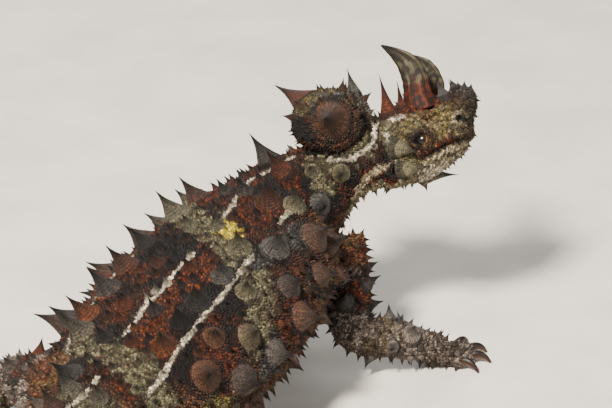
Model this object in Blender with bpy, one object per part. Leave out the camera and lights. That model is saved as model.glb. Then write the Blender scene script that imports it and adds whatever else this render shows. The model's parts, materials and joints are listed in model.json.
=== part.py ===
"""A thorny devil at life size, standing with its forequarters raised and its head turned to the right.

The animal is laid out in millimetres and scaled to metres at the end. A body axis runs from the tail
tip to the back of the head, and each form is a loft round an axis, split at planes across it. Every
thorn is a small cone rooted in the form that it grows from. X runs forward along the trunk, Y to the
animal's left and Z up, and the floor is at z = 0.
"""

import math
import random

import bmesh
import bpy
from mathutils import Matrix, Vector

METRES = 0.001
GAP = 0.3
CENTRE = Vector((-47.0, -8.85, 0.0))
UP = Vector((0, 0, 1))
SEED = 11

# The body axis from the tail tip forward: station, run to the next station, that run's heading and
# climb in degrees, roll, and the station's half width, back height and belly depth.
SHOULDER_AT = Vector((0.0, 0.0, 25.0))
AXIS = (
    ("tail_tip", 14.0, -50, -14, 0, 1.2, 1.2, 1.2),
    ("tail_end", 18.0, -32, -8, 0, 2.6, 2.5, 2.3),
    ("tail_middle", 20.0, -14, -4, 0, 4.0, 3.7, 3.4),
    ("tail_thick", 19.0, 4, 0, 1, 5.6, 5.0, 4.7),
    ("tail_root", 9.7, 14, 2, 3, 7.8, 6.8, 6.4),
    ("hips", 11.0, 16, 4, 6, 13.4, 10.2, 8.4),
    ("loin", 15.0, 16, 12, 9, 18.2, 12.8, 9.4),
    ("middle", 15.5, 15, 17, 10, 19.4, 13.6, 10.4),
    ("ribs", 13.0, 12, 21, 11, 17.6, 12.8, 10.6),
    ("shoulder", 7.2, -12, 36, 11, 13.0, 10.6, 9.6),
    ("neck_root", 6.3, -26, 36, 11, 8.8, 8.0, 7.8),
    ("neck", 5.7, -40, 26, 13, 6.9, 6.2, 6.4),
    ("nape", 5.4, -50, 12, 20, 6.4, 6.0, 6.0),
    ("skull_back", 6.5, -52, 28, 31, 6.6, 6.3, 6.3),
    ("skull", 0.0, -52, 28, 31, 7.0, 7.0, 6.0),
)
NAMES = [row[0] for row in AXIS]
# The nodes of the body axis: name, first and last station, rings and sides.
BODY_NODES = (
    ("tail_tip", "tail_tip", "tail_middle", 7, 10),
    ("tail_middle", "tail_middle", "tail_thick", 5, 12),
    ("tail_base", "tail_thick", "hips", 7, 16),
    ("torso", "hips", "shoulder", 14, 24),
    ("neck", "shoulder", "skull_back", 10, 20),
)

# The head's own frame: heading, climb and roll, with x forward from between the eyes, y left, z up.
HEAD_TURN = (-52, 28, 31)
HEAD_AHEAD = 6.5
HEAD_DROP = 1.5
# Head sections: x, half width, top, bottom and squareness.
HEAD_SECTIONS = (
    (-6.5, 6.6, 7.8, -4.8, 2.2),
    (-4.6, 7.0, 8.2, -5.2, 2.2),
    (-2.4, 7.2, 8.4, -5.1, 2.3),
    (0.0, 6.9, 7.9, -4.7, 2.4),
    (2.2, 6.1, 7.0, -3.9, 2.4),
    (4.0, 5.2, 6.6, -2.5, 2.3),
    (5.7, 4.5, 7.0, -0.8, 2.3),
    (7.3, 3.9, 7.6, 1.3, 2.3),
    (8.8, 3.1, 7.3, 3.3, 2.2),
    (9.8, 1.7, 6.5, 4.8, 2.0),
)
HEAD_SIDES = 20
HEAD_RINGS = 13
# The mouth line and the jaw's back edge, as x and z in the head's frame.
MOUTH_CORNER = (-0.9, -3.0)
MOUTH_FRONT = (5.3, -1.5)
JAW_BACK = (-5.6, -7.0)
LIP_RADIUS = 0.5
EYE_AT = (0.0, 5.9, 0.1)
EYE_RADIUS = 1.55
LID_RING = (1.85, 0.6)
NOSTRIL_AT = (6.9, 4.0, 1.5)
NOSTRIL_RADIUS = 0.7
# The horn over each eye, from its root: ahead, out and up, then its half length and half width.
HORN = (
    (1.2, 3.4, 5.4, 3.2, 2.5),
    (1.4, 3.7, 8.0, 2.6, 1.9),
    (2.1, 4.3, 10.8, 2.4, 1.5),
    (1.9, 5.0, 13.6, 2.0, 1.1),
    (0.7, 6.0, 16.0, 1.05, 0.7),
    (-0.8, 7.0, 18.0, 0.15, 0.15),
)
# Thorns of the head on each side: ahead, out, up, the way each points, length and radius.
HEAD_THORNS = (
    ("behind_horn", (-4.6, 3.9, 7.0), (0.18, 0.12, 1.0), 7.2, 1.6),
    ("crown", (-1.4, 1.2, 8.1), (-0.1, 0.2, 1.0), 2.2, 1.0),
    ("before_horn", (5.4, 3.2, 6.2), (0.05, 0.12, 1.0), 4.0, 1.4),
    ("snout_back", (7.3, 1.7, 7.3), (0.0, 0.3, 1.0), 1.7, 0.9),
    ("snout_front", (8.9, 1.6, 6.4), (0.5, 0.3, 0.8), 1.4, 0.8),
    ("cheek", (-3.7, 6.9, 0.2), (0.74, 0.42, -0.55), 4.5, 2.2),
    ("temple", (-5.0, 6.2, 4.8), (-0.2, 0.8, 0.5), 2.6, 1.2),
    ("throat", (-5.2, 4.2, -4.4), (-0.1, 0.5, -0.85), 2.2, 1.0),
)

# The spine at each corner of the jaw, which runs forward past the jaw's own node.
JAW_SPINE = ((-4.4, 5.8, -3.4), (0.86, 0.36, -0.30), 5.4, 1.5)

# The nape knob, or false head: where it is, its turn, its half sizes and its great thorns' way.
KNOB_AT = Vector((9.5, -2.9, 42.0))
KNOB_TURN = (-23, 6, 7)
KNOB_SIZE = (7.1, 6.3, 5.4)
KNOB_THORN_WAY = (-0.3, 0.87, 0.4)
KNOB_THORN = (8.2, 3.3)
KNOB_SPINE = ((0.7, 0.15, 0.7), (-0.05, 0.1, 1.0), 4.6, 1.3)
KNOB_SMALL = 14

# Each limb: its side, its nodes from the root out, its digits' heading, and its root, elbow or knee,
# wrist or ankle, and palm.
FORE = ("upper_arm", "forearm", "hand")
HIND = ("thigh", "shin", "foot")
LIMBS = (
    ("right", FORE, -17, (6.0, -6.4, 21.8), (3.0, -14.6, 8.2), (13.4, -20.9, 4.3), (17.0, -22.2, 2.3)),
    ("left", FORE, 24, (5.2, 5.0, 23.0), (0.4, 16.4, 8.6), (9.6, 24.6, 4.0), (13.6, 27.2, 1.9)),
    ("right", HIND, -52, (-50.4, -14.0, 13.6), (-47.4, -30.5, 9.6), (-56.0, -38.5, 3.8), (-54.4, -43.6, 2.0)),
    ("left", HIND, 60, (-53.0, -6.0, 13.6), (-53.0, 10.6, 9.6), (-64.5, 17.0, 3.8), (-63.0, 22.4, 2.0)),
)
# Half width and half thickness at the root, the middle, the joint, the middle, the joint and the palm.
LIMB_SIZES = {
    "hand": ((5.8, 5.8), (4.6, 4.6), (3.3, 3.3), (3.5, 3.4), (2.8, 2.8), (3.5, 2.8)),
    "foot": ((6.0, 5.6), (5.2, 4.9), (4.0, 3.8), (3.8, 3.6), (2.7, 2.5), (3.7, 2.3)),
}
LIMB_SIDES = 10
# Digits: how far each turns from the palm's heading, and its length; then their radii and claws.
DIGITS = ((-58, 3.8), (-28, 4.9), (-2, 5.3), (25, 5.0), (54, 3.6))
DIGIT_RADIUS = 1.25
CLAW_LENGTH = 3.3
CLAW_RADIUS = 0.75

# Rows of thorns along the body, on both sides of its ridge: the angle from the ridge, length, foot
# radius, first and last station, and how many.
BODY_ROWS = (
    (8, 3.8, 1.7, 5.35, 8.5, 5),
    (27, 5.8, 2.5, 4.5, 8.4, 9),
    (46, 4.8, 2.4, 5.3, 8.5, 5),
    (65, 6.2, 2.8, 4.6, 8.2, 5),
    (84, 5.8, 2.6, 5.4, 8.5, 6),
    (108, 3.6, 1.8, 5.5, 8.3, 5),
    (20, 5.6, 2.1, 9.85, 10.45, 2),
    (55, 3.6, 1.9, 9.4, 11.3, 3),
    (88, 4.6, 2.3, 9.9, 12.2, 3),
    (20, 4.8, 2.0, 0.5, 4.1, 10),
    (60, 5.0, 2.0, 0.7, 4.0, 9),
    (98, 4.2, 1.8, 0.5, 4.3, 9),
    (140, 2.4, 1.3, 0.9, 3.9, 7),
)
TAIL_FULL = 3.4
LIMB_ROWS = ((0, 3.2, 1.5, 0.0), (55, 3.6, 1.6, 0.5), (110, 3.2, 1.5, 0.0), (180, 2.6, 1.3, 0.5))
LIMB_STEP = 4.6
THORN_SIDES = 5
# How wide a thorn is, in foot radii, at shares of its length.
THORN_SPOTS = ((0.0, 0.9), (0.35, 0.6), (0.7, 0.35), (1.0, 0.1))
BODY_LEAN = 0.08
LIMB_LEAN = 0.25
LOWEST = 0.6

MATERIALS = {
    "skin": ((0.20, 0.08, 0.04), 0.75),
    "pale": ((0.24, 0.19, 0.11), 0.75),
    "horn": ((0.10, 0.07, 0.06), 0.55),
    "eye": ((0.02, 0.015, 0.01), 0.15),
}


def bearing(heading, climb):
    """The unit vector at a heading left of +X and a climb, in degrees."""
    h = math.radians(heading)
    c = math.radians(climb)
    return Vector((math.cos(c) * math.cos(h), math.cos(c) * math.sin(h), math.sin(c)))


def turned_frame(heading, climb, roll):
    """Forward, left and up vectors. The roll takes the left side down."""
    forward = bearing(heading, climb)
    left = UP.cross(forward).normalized()
    up = forward.cross(left)
    r = math.radians(roll)
    return forward, left * math.cos(r) - up * math.sin(r), up * math.cos(r) + left * math.sin(r)


def curve(values, t):
    """A smooth curve through equally spaced values, read at t."""
    last = len(values) - 1
    i = min(max(math.floor(t), 0), last - 1)
    u = t - i
    a, b, c, d = (values[min(max(k, 0), last)] for k in (i - 1, i, i + 1, i + 2))
    bend = (c - a) * u + (2 * a - 5 * b + 4 * c - d) * u**2 + (3 * b - a - 3 * c + d) * u**3
    return b + 0.5 * bend


class Form:
    """A loft: rings round a smooth axis, each with a half width, a top and a bottom height."""

    def __init__(self, places, lefts, sizes, square=2.2):
        self.places = places
        self.lefts = lefts
        self.sizes = sizes
        self.square = square
        self.last = len(places) - 1

    def frame(self, t):
        forward = (curve(self.places, t + 0.02) - curve(self.places, t - 0.02)).normalized()
        left = curve(self.lefts, t)
        left = (left - forward * left.dot(forward)).normalized()
        return curve(self.places, t), forward, left, forward.cross(left)

    def size(self, t):
        return [curve([row[k] for row in self.sizes], t) for k in range(3)]

    def point(self, t, angle, grow=0.0):
        """A point of the skin. The angle is from the top, positive to the left, in degrees."""
        middle, _, left, up = self.frame(t)
        width, top, bottom = self.size(t)
        sine = math.sin(math.radians(angle))
        cosine = math.cos(math.radians(angle))
        power = 2 / self.square
        across = math.copysign(abs(sine) ** power, sine) * (width + grow)
        height = (top if cosine > 0 else bottom) + grow
        return middle + left * across + up * math.copysign(abs(cosine) ** power, cosine) * height

    def normal(self, t, angle):
        along = self.point(t + 0.05, angle) - self.point(t - 0.05, angle)
        around = self.point(t, angle + 3) - self.point(t, angle - 3)
        return along.cross(around).normalized()

    def nearest(self, point):
        """The station of the axis that is nearest to a point."""
        steps = [k * self.last / 60 for k in range(61)]
        return min(steps, key=lambda s: (curve(self.places, s) - point).length_squared)

    def depth(self, point):
        """About how far a point lies outside the skin, negative inside it."""
        t = self.nearest(point)
        middle, forward, left, up = self.frame(t)
        width, top, bottom = self.size(t)
        away = point - middle
        beyond = abs(away.dot(forward))
        if t in (0, self.last) and beyond > 2:
            return beyond
        height = top if away.dot(up) > 0 else bottom
        reach = math.hypot(away.dot(left) / width, away.dot(up) / height)
        return away.length * (1 - 1 / max(reach, 0.05))

    def run(self, start, end):
        """The axis' length between two stations."""
        steps = [start + (end - start) * k / 40 for k in range(41)]
        return sum((curve(self.places, b) - curve(self.places, a)).length for a, b in zip(steps, steps[1:]))

    def rings(self, start, end, count, sides, grow=0.0, inset=(GAP / 2, GAP / 2)):
        """Rings from one station to another, with the end ones drawn in to leave the gap."""
        made = []
        for k in range(count):
            t = start + (end - start) * k / (count - 1)
            forward = self.frame(t)[1]
            shift = forward * (inset[0] if k == 0 else -inset[1] if k == count - 1 else 0.0)
            made.append([self.point(t, 360 * j / sides, grow) + shift for j in range(sides)])
        return made


def link(name, bm):
    """A scene object from a bmesh, with its faces turned out."""
    bmesh.ops.recalc_face_normals(bm, faces=bm.faces)
    mesh = bpy.data.meshes.new(name)
    bm.to_mesh(mesh)
    bm.free()
    made = bpy.data.objects.new(name, mesh)
    bpy.context.scene.collection.objects.link(made)
    return made


def skinned(name, rings, tip=None):
    """A closed mesh over rings of points, ending in a flat face or at a tip."""
    bm = bmesh.new()
    rows = [[bm.verts.new(point) for point in ring] for ring in rings]
    sides = len(rows[0])
    for low, high in zip(rows, rows[1:]):
        for j in range(sides):
            k = (j + 1) % sides
            bm.faces.new((low[j], low[k], high[k], high[j]))
    bm.faces.new(rows[0])
    if tip is None:
        bm.faces.new(rows[-1])
    else:
        apex = bm.verts.new(tip)
        for j in range(sides):
            bm.faces.new((rows[-1][j], rows[-1][(j + 1) % sides], apex))
    return link(name, bm)


def ring_of(middle, first, second, radius, sides):
    turn = 2 * math.pi / sides
    return [
        middle + (first * math.cos(turn * j) + second * math.sin(turn * j)) * radius
        for j in range(sides)
    ]


def ellipsoid(name, middle, frame, sizes, rows=9, sides=16):
    """A closed egg on three axes, its poles on the first one."""
    rings = []
    for i in range(1, rows):
        a = math.pi * i / rows
        centre = middle - frame[0] * sizes[0] * math.cos(a)
        first = frame[1] * sizes[1] * math.sin(a)
        second = frame[2] * sizes[2] * math.sin(a)
        rings.append(ring_of(centre, first, second, 1.0, sides))
    bm = bmesh.new()
    lines = [[bm.verts.new(point) for point in ring] for ring in rings]
    ends = [bm.verts.new(middle - frame[0] * sizes[0]), bm.verts.new(middle + frame[0] * sizes[0])]
    for low, high in zip(lines, lines[1:]):
        for j in range(sides):
            k = (j + 1) % sides
            bm.faces.new((low[j], low[k], high[k], high[j]))
    for line, end in ((lines[0], ends[0]), (lines[-1], ends[1])):
        for j in range(sides):
            bm.faces.new((line[j], line[(j + 1) % sides], end))
    return link(name, bm)


def closed_volume(mesh):
    """The space that a mesh closes off, or 0 where it has an open edge."""
    bm = bmesh.new()
    bm.from_mesh(mesh)
    volume = bm.calc_volume() if all(edge.is_manifold for edge in bm.edges) else 0.0
    bm.free()
    return volume


def combine(base, pieces, operation="UNION"):
    """Applies one Boolean of all the pieces to the base, by the second solver where the first leaves
    an open edge or loses the base, and removes the pieces."""
    if not pieces:
        return base
    least = closed_volume(base.data) * (0.99 if operation == "UNION" else 0.01)
    group = bpy.data.collections.new("pieces")
    bpy.context.scene.collection.children.link(group)
    for piece in pieces:
        bpy.context.scene.collection.objects.unlink(piece)
        group.objects.link(piece)
    modifier = base.modifiers.new("Boolean", "BOOLEAN")
    modifier.operation = operation
    modifier.operand_type = "COLLECTION"
    modifier.collection = group
    for solver in ("EXACT", "MANIFOLD"):
        modifier.solver = solver
        graph = bpy.context.evaluated_depsgraph_get()
        mesh = bpy.data.meshes.new_from_object(base.evaluated_get(graph))
        if closed_volume(mesh) > least:
            break
    base.modifiers.clear()
    base.data = mesh
    for piece in pieces:
        bpy.data.objects.remove(piece, do_unlink=True)
    bpy.data.collections.remove(group)
    return base


def keep_largest(base):
    """Drops every closed surface but the one round the most space."""
    bm = bmesh.new()
    bm.from_mesh(base.data)
    unseen = set(bm.verts)
    shells = []
    while unseen:
        stack = [unseen.pop()]
        shell = []
        while stack:
            vert = stack.pop()
            shell.append(vert)
            for edge in vert.link_edges:
                other = edge.other_vert(vert)
                if other in unseen:
                    unseen.remove(other)
                    stack.append(other)
        shells.append(shell)
    spans = [
        math.prod(max(v.co[k] for v in shell) - min(v.co[k] for v in shell) for k in range(3))
        for shell in shells
    ]
    largest = shells[spans.index(max(spans))]
    for shell in shells:
        if shell is not largest:
            bmesh.ops.delete(bm, geom=shell, context="VERTS")
    bm.to_mesh(base.data)
    bm.free()
    return base


def thorn(root, way, length, radius, bend=Vector(), sides=THORN_SIDES):
    """A thorn: a wide foot sunk in the skin, a narrow waist and a sharp tip carried over by its bend."""
    way = way.normalized()
    first = way.cross(Vector((0.31, 0.52, 0.8))).normalized()
    second = way.cross(first)
    foot = root - way * (0.45 * radius + 0.3)
    waist = root + way * length * 0.33 + bend * 0.2
    low = ring_of(foot, first, second, radius * 1.25, sides)
    high = ring_of(waist, first, second, radius * 0.5, sides)
    return skinned("thorn", [low, high], root + way * length + bend)


class Thorns:
    """The thorns set so far, so that none meets a thorn or a form of another node."""

    def __init__(self, chance):
        self.chance = chance
        self.placed = []

    def clear(self, node, root, tip, radius, forms, own=None, span=None):
        """Whether a thorn here meets nothing. It is noted as placed if so."""
        spots = [(root.lerp(tip, share), radius * wide) for share, wide in THORN_SPOTS]
        if min(point.z for point, _ in spots) < LOWEST:
            return False
        for point, _ in spots[2:] if own else []:
            within = span[0] < own.nearest(point) < span[1]
            if own.depth(point) < (0.6 if within else 2.4):
                return False
        if any(form.depth(point) < wide + 0.5 for form in forms for point, wide in spots):
            return False
        for other, taken in self.placed:
            if other == node or (taken[0][0] - root).length > 16:
                continue
            if any((a - b).length < r + s + 0.5 for a, r in taken for b, s in spots):
                return False
        self.placed.append((node, spots))
        return True

    def one(self, node, form, span, t, angle, length, radius, lean, others):
        """One thorn on a form, leaning back along it, or none where it would meet something."""
        room = min(form.run(span[0], t), form.run(t, span[1]))
        if not span[0] < t < span[1] or room < radius * 1.5 + 0.5:
            return []
        root = form.point(t, angle)
        forward = form.frame(t)[1]
        way = (form.normal(t, angle) - forward * lean).normalized()
        bend = (UP * 0.3 - forward * 0.7) * length * 0.14
        tip = root + way * length + bend
        if self.clear(node, root, tip, radius, others, form, span):
            return [thorn(root, way, length, radius, bend)]
        return []

    def along_body(self, node, form, start, end, others):
        """The thorns of the body's rows that stand on one node, smaller towards the tail's tip."""
        made = []
        for angle, length, radius, first, last, count in BODY_ROWS:
            for side in (1, -1):
                for k in range(count):
                    t = first + (last - first) * k / (count - 1) + self.chance.uniform(-0.05, 0.05)
                    size = self.chance.uniform(0.86, 1.12) * (0.35 + 0.65 * min(t / TAIL_FULL, 1.0))
                    a = side * (angle + self.chance.uniform(-2.5, 2.5))
                    if start < t < end:
                        made += self.one(
                            node, form, (start, end), t, a, length * size, radius * size, BODY_LEAN, others
                        )
        return made

    def along_limb(self, node, form, start, end, others):
        """Thorns in rows round one stretch of a limb."""
        made = []
        count = max(int(form.run(start, end) / LIMB_STEP), 1)
        for angle, length, radius, offset in LIMB_ROWS:
            for side in (1, -1) if angle % 180 else (1,):
                for k in range(count + 1):
                    share = (k + offset + self.chance.uniform(-0.12, 0.12)) / count
                    t = start + (end - start) * share
                    size = self.chance.uniform(0.82, 1.15)
                    a = side * (angle + self.chance.uniform(-3, 3))
                    if start < t < end:
                        made += self.one(
                            node, form, (start, end), t, a, length * size, radius * size, LIMB_LEAN, others
                        )
        return made


def axis_form():
    """The form of the whole body axis, counted out both ways from the shoulder."""
    shoulder = NAMES.index("shoulder")
    places = [None] * len(AXIS)
    places[shoulder] = SHOULDER_AT.copy()
    for i in range(shoulder + 1, len(AXIS)):
        _, run, heading, climb = AXIS[i - 1][:4]
        places[i] = places[i - 1] + run * bearing(heading, climb)
    for i in range(shoulder - 1, -1, -1):
        _, run, heading, climb = AXIS[i][:4]
        places[i] = places[i + 1] - run * bearing(heading, climb)
    lefts = [turned_frame(row[2], row[3], row[4])[1] for row in AXIS]
    return Form(places, lefts, [row[5:8] for row in AXIS])


class Head:
    """The head's frame, and its form as rings across that frame's x."""

    def __init__(self, skull_back):
        self.frame = turned_frame(*HEAD_TURN)
        forward, _, up = self.frame
        self.middle = skull_back + forward * HEAD_AHEAD - up * HEAD_DROP

    def at(self, x, y, z):
        return self.middle + self.frame[0] * x + self.frame[1] * y + self.frame[2] * z

    def way(self, x, y, z):
        return (self.frame[0] * x + self.frame[1] * y + self.frame[2] * z).normalized()

    def local(self, point):
        away = point - self.middle
        return [away.dot(axis) for axis in self.frame]

    def section(self, x):
        """Half width, top, bottom and squareness at x."""
        rows = HEAD_SECTIONS
        i = max(k for k in range(len(rows) - 1) if k == 0 or rows[k][0] <= x)
        t = i + (x - rows[i][0]) / (rows[i + 1][0] - rows[i][0])
        return [curve([row[k] for row in rows], t) for k in range(1, 5)]

    def rings(self, grow=0.0, inset=GAP / 2):
        made = []
        first, last = HEAD_SECTIONS[0][0] + inset, HEAD_SECTIONS[-1][0] + grow
        for k in range(HEAD_RINGS):
            x = first + (last - first) * (1 - (1 - k / (HEAD_RINGS - 1)) ** 1.25)
            width, top, bottom, square = self.section(min(x, HEAD_SECTIONS[-1][0]))
            middle, half = (top + bottom) / 2, (top - bottom) / 2 + grow
            ring = []
            for j in range(HEAD_SIDES):
                a = 2 * math.pi * j / HEAD_SIDES
                across = math.copysign(abs(math.sin(a)) ** (2 / square), math.sin(a))
                high = math.copysign(abs(math.cos(a)) ** (2 / square), math.cos(a))
                ring.append(self.at(x, across * (width + grow), middle + high * half))
            made.append(ring)
        return made

    def side_at(self, x, z):
        """How far out the head's side is at x and z."""
        width, top, bottom, square = self.section(x)
        high = min(abs(z - (top + bottom) / 2) / ((top - bottom) / 2), 1.0)
        return width * (1 - high**square) ** (1 / square)


def slab(name, corners, head, half=20.0):
    """A prism across the head over a profile of x and z."""
    bm = bmesh.new()
    rows = [[bm.verts.new(head.at(x, y, z)) for x, z in corners] for y in (-half, half)]
    count = len(corners)
    for j in range(count):
        k = (j + 1) % count
        bm.faces.new((rows[0][j], rows[0][k], rows[1][k], rows[1][j]))
    bm.faces.new(rows[0])
    bm.faces.new(rows[1])
    return link(name, bm)


def jaw_profile(grow):
    """The outline, in x and z, of the space of the lower jaw, grown by half the gap or drawn in."""
    corner = Vector(MOUTH_CORNER)
    front = (Vector(MOUTH_FRONT) - corner).normalized()
    back = (Vector(JAW_BACK) - corner).normalized()
    over = Vector((-front.y, front.x)) * grow
    behind = Vector((back.y, -back.x)) * grow
    moved = corner + (over + behind) / (1 + over.normalized().dot(behind.normalized()))
    return [moved, moved + front * 30, corner + Vector((30, -20)), moved + back * 30]


def tube(name, points, radius, sides=5):
    """A tube along points, thin at both ends."""
    rings = []
    for i, point in enumerate(points):
        ahead = points[min(i + 1, len(points) - 1)] - points[max(i - 1, 0)]
        first = ahead.cross(UP).normalized()
        second = ahead.cross(first).normalized()
        wide = radius * (0.35 if i in (0, len(points) - 1) else 1.0)
        rings.append(ring_of(point, first, second, wide, sides))
    return skinned(name, rings)


def torus(name, middle, frame, major, minor, flat=0.85, rows=12, sides=5):
    """A ring round the frame's first vector, a little flattened along its last one."""
    bm = bmesh.new()
    loops = []
    for i in range(rows):
        a = 2 * math.pi * i / rows
        out = frame[1] * math.cos(a) + frame[2] * math.sin(a) * flat
        ring = ring_of(middle + out * major, out.normalized(), frame[0], minor, sides)
        loops.append([bm.verts.new(point) for point in ring])
    for low, high in zip(loops, loops[1:] + loops[:1]):
        for j in range(sides):
            k = (j + 1) % sides
            bm.faces.new((low[j], low[k], high[k], high[j]))
    return link(name, bm)


def knob_form():
    """The nape knob's rough form, which thorns of other nodes keep clear of."""
    way = bearing(*KNOB_TURN[:2])
    places = [KNOB_AT + way * KNOB_SIZE[0] * s for s in (-0.8, 0, 0.8)]
    left = turned_frame(*KNOB_TURN)[1]
    return Form(places, [left] * 3, [(KNOB_SIZE[1], KNOB_SIZE[2], KNOB_SIZE[2])] * 3)


def span_of(name, first, last):
    """A body node's first and last stations. The neck runs a little into the head, which cuts it."""
    return NAMES.index(first), NAMES.index(last) + (0.2 if name == "neck" else 0)


def make_body(axis, head, thorns, limbs):
    """The tail, the torso and the neck, each with its thorns."""
    made = {}
    for name, first, last, count, sides in BODY_NODES:
        start, end = span_of(name, first, last)
        rings = axis.rings(start, end, count, sides)
        if start == 0:
            rings = rings[::-1]
            base = skinned(name, rings, axis.places[0] - axis.frame(0)[1] * 2.0)
        else:
            base = skinned(name, rings)
        others = limbs
        if name == "neck":
            back = HEAD_SECTIONS[0][0] - GAP / 2
            corners = [(back, -30), (back, 30), (60, 30), (60, -30)]
            combine(base, [slab("ahead", corners, head)], "DIFFERENCE")
            others = limbs + [knob_form()]
        pieces = thorns.along_body(name, axis, start, end, others)
        made[name] = keep_largest(combine(base, pieces))
    return made


def limb_form(names, joints):
    """The form of one limb, through its joints and the points half way between them."""
    root, bend, wrist, palm = (Vector(joint) for joint in joints)
    places = [root, root.lerp(bend, 0.55), bend, bend.lerp(wrist, 0.5), wrist, palm]
    flat = UP.cross(palm - wrist).normalized()
    hinge = (bend - root).cross(wrist - bend).normalized()
    hinge *= math.copysign(1, hinge.dot(flat))
    lefts = [hinge, hinge, hinge, (hinge + flat) / 2, flat, flat]
    return Form(places, lefts, [(w, h, h) for w, h in LIMB_SIZES[names[2]]])


def make_limb(side, names, heading, form, axis, solid_trunk, thorns):
    """The three nodes of one limb, with thorns, digits and claws."""
    made = {}
    spans = ((0, 2, 8), (2, 4, 7), (4, 5, 5))
    for i, (name, (start, end, count)) in enumerate(zip(names, spans)):
        full = f"{name}_{side}"
        inset = (0.0 if i == 0 else GAP / 2, 0.0 if i == 2 else GAP / 2)
        base = skinned(full, form.rings(start, end, count, LIMB_SIDES, inset=inset))
        pieces = thorns.along_limb(full, form, start, end, [axis])
        if i == 2:
            pieces += make_digits(form, heading)
        combine(base, pieces)
        if i == 0:
            spaces = solid_trunk()
        else:
            spaces = [skinned("space", form.rings(*spans[i - 1], LIMB_SIDES, GAP * 2, (0.0, 0.0)))]
        if i == 2:
            spaces.append(slab_below(form.places[-1]))
        made[full] = keep_largest(combine(base, spaces, "DIFFERENCE"))
    return made


def slab_below(near):
    """A block under the floor, beneath one foot."""
    bm = bmesh.new()
    bmesh.ops.create_cube(bm, size=40.0)
    bm.transform(Matrix.Translation((near.x, near.y, -20.0)))
    return link("below", bm)


def make_digits(form, heading):
    """Five digits that fan out from the palm, each with a curved claw."""
    palm = form.places[-1]
    made = []
    for turn, length in DIGITS:
        way = bearing(heading + turn, 0)
        left = UP.cross(way)
        root = Vector((palm.x, palm.y, 1.2)) + left * math.sin(math.radians(turn)) * 0.4 - way * 0.6
        rings = []
        for share, wide in ((0.0, 1.05), (0.4, 1.0), (0.8, 0.95), (1.0, 0.7)):
            middle = root + way * (length * share + 1.6) + UP * 0.15 * math.sin(math.pi * share)
            rings.append(ring_of(middle, left, UP, DIGIT_RADIUS * wide, 6))
        made.append(skinned("digit", rings))
        claw = []
        for share, wide in ((0.0, 1.0), (0.35, 0.95), (0.7, 0.62)):
            rise = 0.75 * math.sin(math.pi * (0.15 + share * 0.75)) - 0.5 * share
            middle = root + way * (length + 1.0 + CLAW_LENGTH * share) + UP * rise
            claw.append(ring_of(middle, left * 0.8, UP, CLAW_RADIUS * wide, 5))
        tip = root + way * (length + 1.0 + CLAW_LENGTH) - UP * 1.0
        made.append(skinned("claw", claw, tip))
    return made


def lip_line(head, side_of_mouth, count=7):
    """Points along one lip, from the right corner of the mouth round the snout to the left one."""
    corner, front = Vector(MOUTH_CORNER), Vector(MOUTH_FRONT)
    points = []
    for side in (-1, 1):
        line = []
        for k in range(count):
            at = corner.lerp(front, k / (count - 0.6))
            z = at.y + side_of_mouth * (LIP_RADIUS + GAP / 2)
            line.append(head.at(at.x, side * (head.side_at(at.x, z) - 0.15), z))
        points += line if side < 0 else line[::-1]
    return points


def make_head(head, thorns, axis):
    """The head, the lower jaw, the eyes and the horns over them."""
    forward, left, up = head.frame
    base = skinned("head", head.rings())
    pieces = [tube("lip", lip_line(head, 1), LIP_RADIUS)]
    cutters = [slab("jaw_space", jaw_profile(GAP / 2), head)]
    made = {}
    jaw_spines = []
    for side, word in ((1, "left"), (-1, "right")):
        (x, y, z), (a, b, c), length, radius = JAW_SPINE
        root, way = head.at(x, y * side, z), head.way(a, b * side, c)
        thorns.clear("head", root, root + way * length, radius, [])
        jaw_spines.append((root, way, length, radius))
        x, y, z = EYE_AT
        frame = (left * side, forward, up)
        eye = head.at(x, y * side, z)
        pieces.append(torus("lid", head.at(x, head.side_at(x, z) * side, z), frame, *LID_RING))
        cutters.append(ellipsoid("socket", eye, frame, [EYE_RADIUS + GAP] * 3, 6, 12))
        made[f"eye_{word}"] = ellipsoid(f"eye_{word}", eye, frame, [EYE_RADIUS] * 3, 8, 12)
        x, y, z = NOSTRIL_AT
        cutters.append(ellipsoid("nostril", head.at(x, y * side, z), frame, [NOSTRIL_RADIUS] * 3, 6, 8))
        for _, (x, y, z), (a, b, c), length, radius in HEAD_THORNS:
            root, way = head.at(x, y * side, z), head.way(a, b * side, c)
            if thorns.clear("head", root, root + way * length, radius, []):
                pieces.append(thorn(root, way, length, radius))
    combine(base, pieces)
    combine(base, cutters, "DIFFERENCE")
    combine(base, [thorn(*spine) for spine in jaw_spines])
    made["head"] = keep_largest(base)
    jaw = skinned("lower_jaw", head.rings())
    combine(jaw, [slab("jaw_space", jaw_profile(-GAP / 2), head)], "INTERSECT")
    spaces = [thorn(root - way, way, length + 3, radius + GAP * 2) for root, way, length, radius in jaw_spines]
    combine(jaw, spaces, "DIFFERENCE")
    made["lower_jaw"] = keep_largest(combine(jaw, [tube("lip", lip_line(head, -1), LIP_RADIUS)]))
    return made


def make_horn(head, side, word):
    """The horn over one eye: a tapering loft that hooks back, standing on the head."""
    rings = []
    for k in range(11):
        t = (len(HORN) - 1) * k / 11
        x, y, z, long_, wide = (curve([row[m] for row in HORN], t) for m in range(5))
        ahead = Vector([curve([row[m] for row in HORN], t + 0.05) for m in range(3)])
        ahead = (ahead - Vector((x, y, z))).normalized()
        ahead.y *= side
        tangent = head.way(*ahead)
        across = head.frame[1]
        across = (across - tangent * across.dot(tangent)).normalized()
        first = across.cross(tangent)
        middle = head.at(x, y * side, z)
        turn = 2 * math.pi / 12
        sides = [turn * j for j in range(12)]
        rings.append([middle + first * long_ * math.cos(a) + across * wide * math.sin(a) for a in sides])
    tip = head.at(HORN[-1][0], HORN[-1][1] * side, HORN[-1][2])
    horn = skinned(f"horn_{word}", rings, tip)
    combine(horn, [skinned("head_space", head.rings(GAP, 0.0))], "DIFFERENCE")
    return keep_largest(horn)


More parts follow.
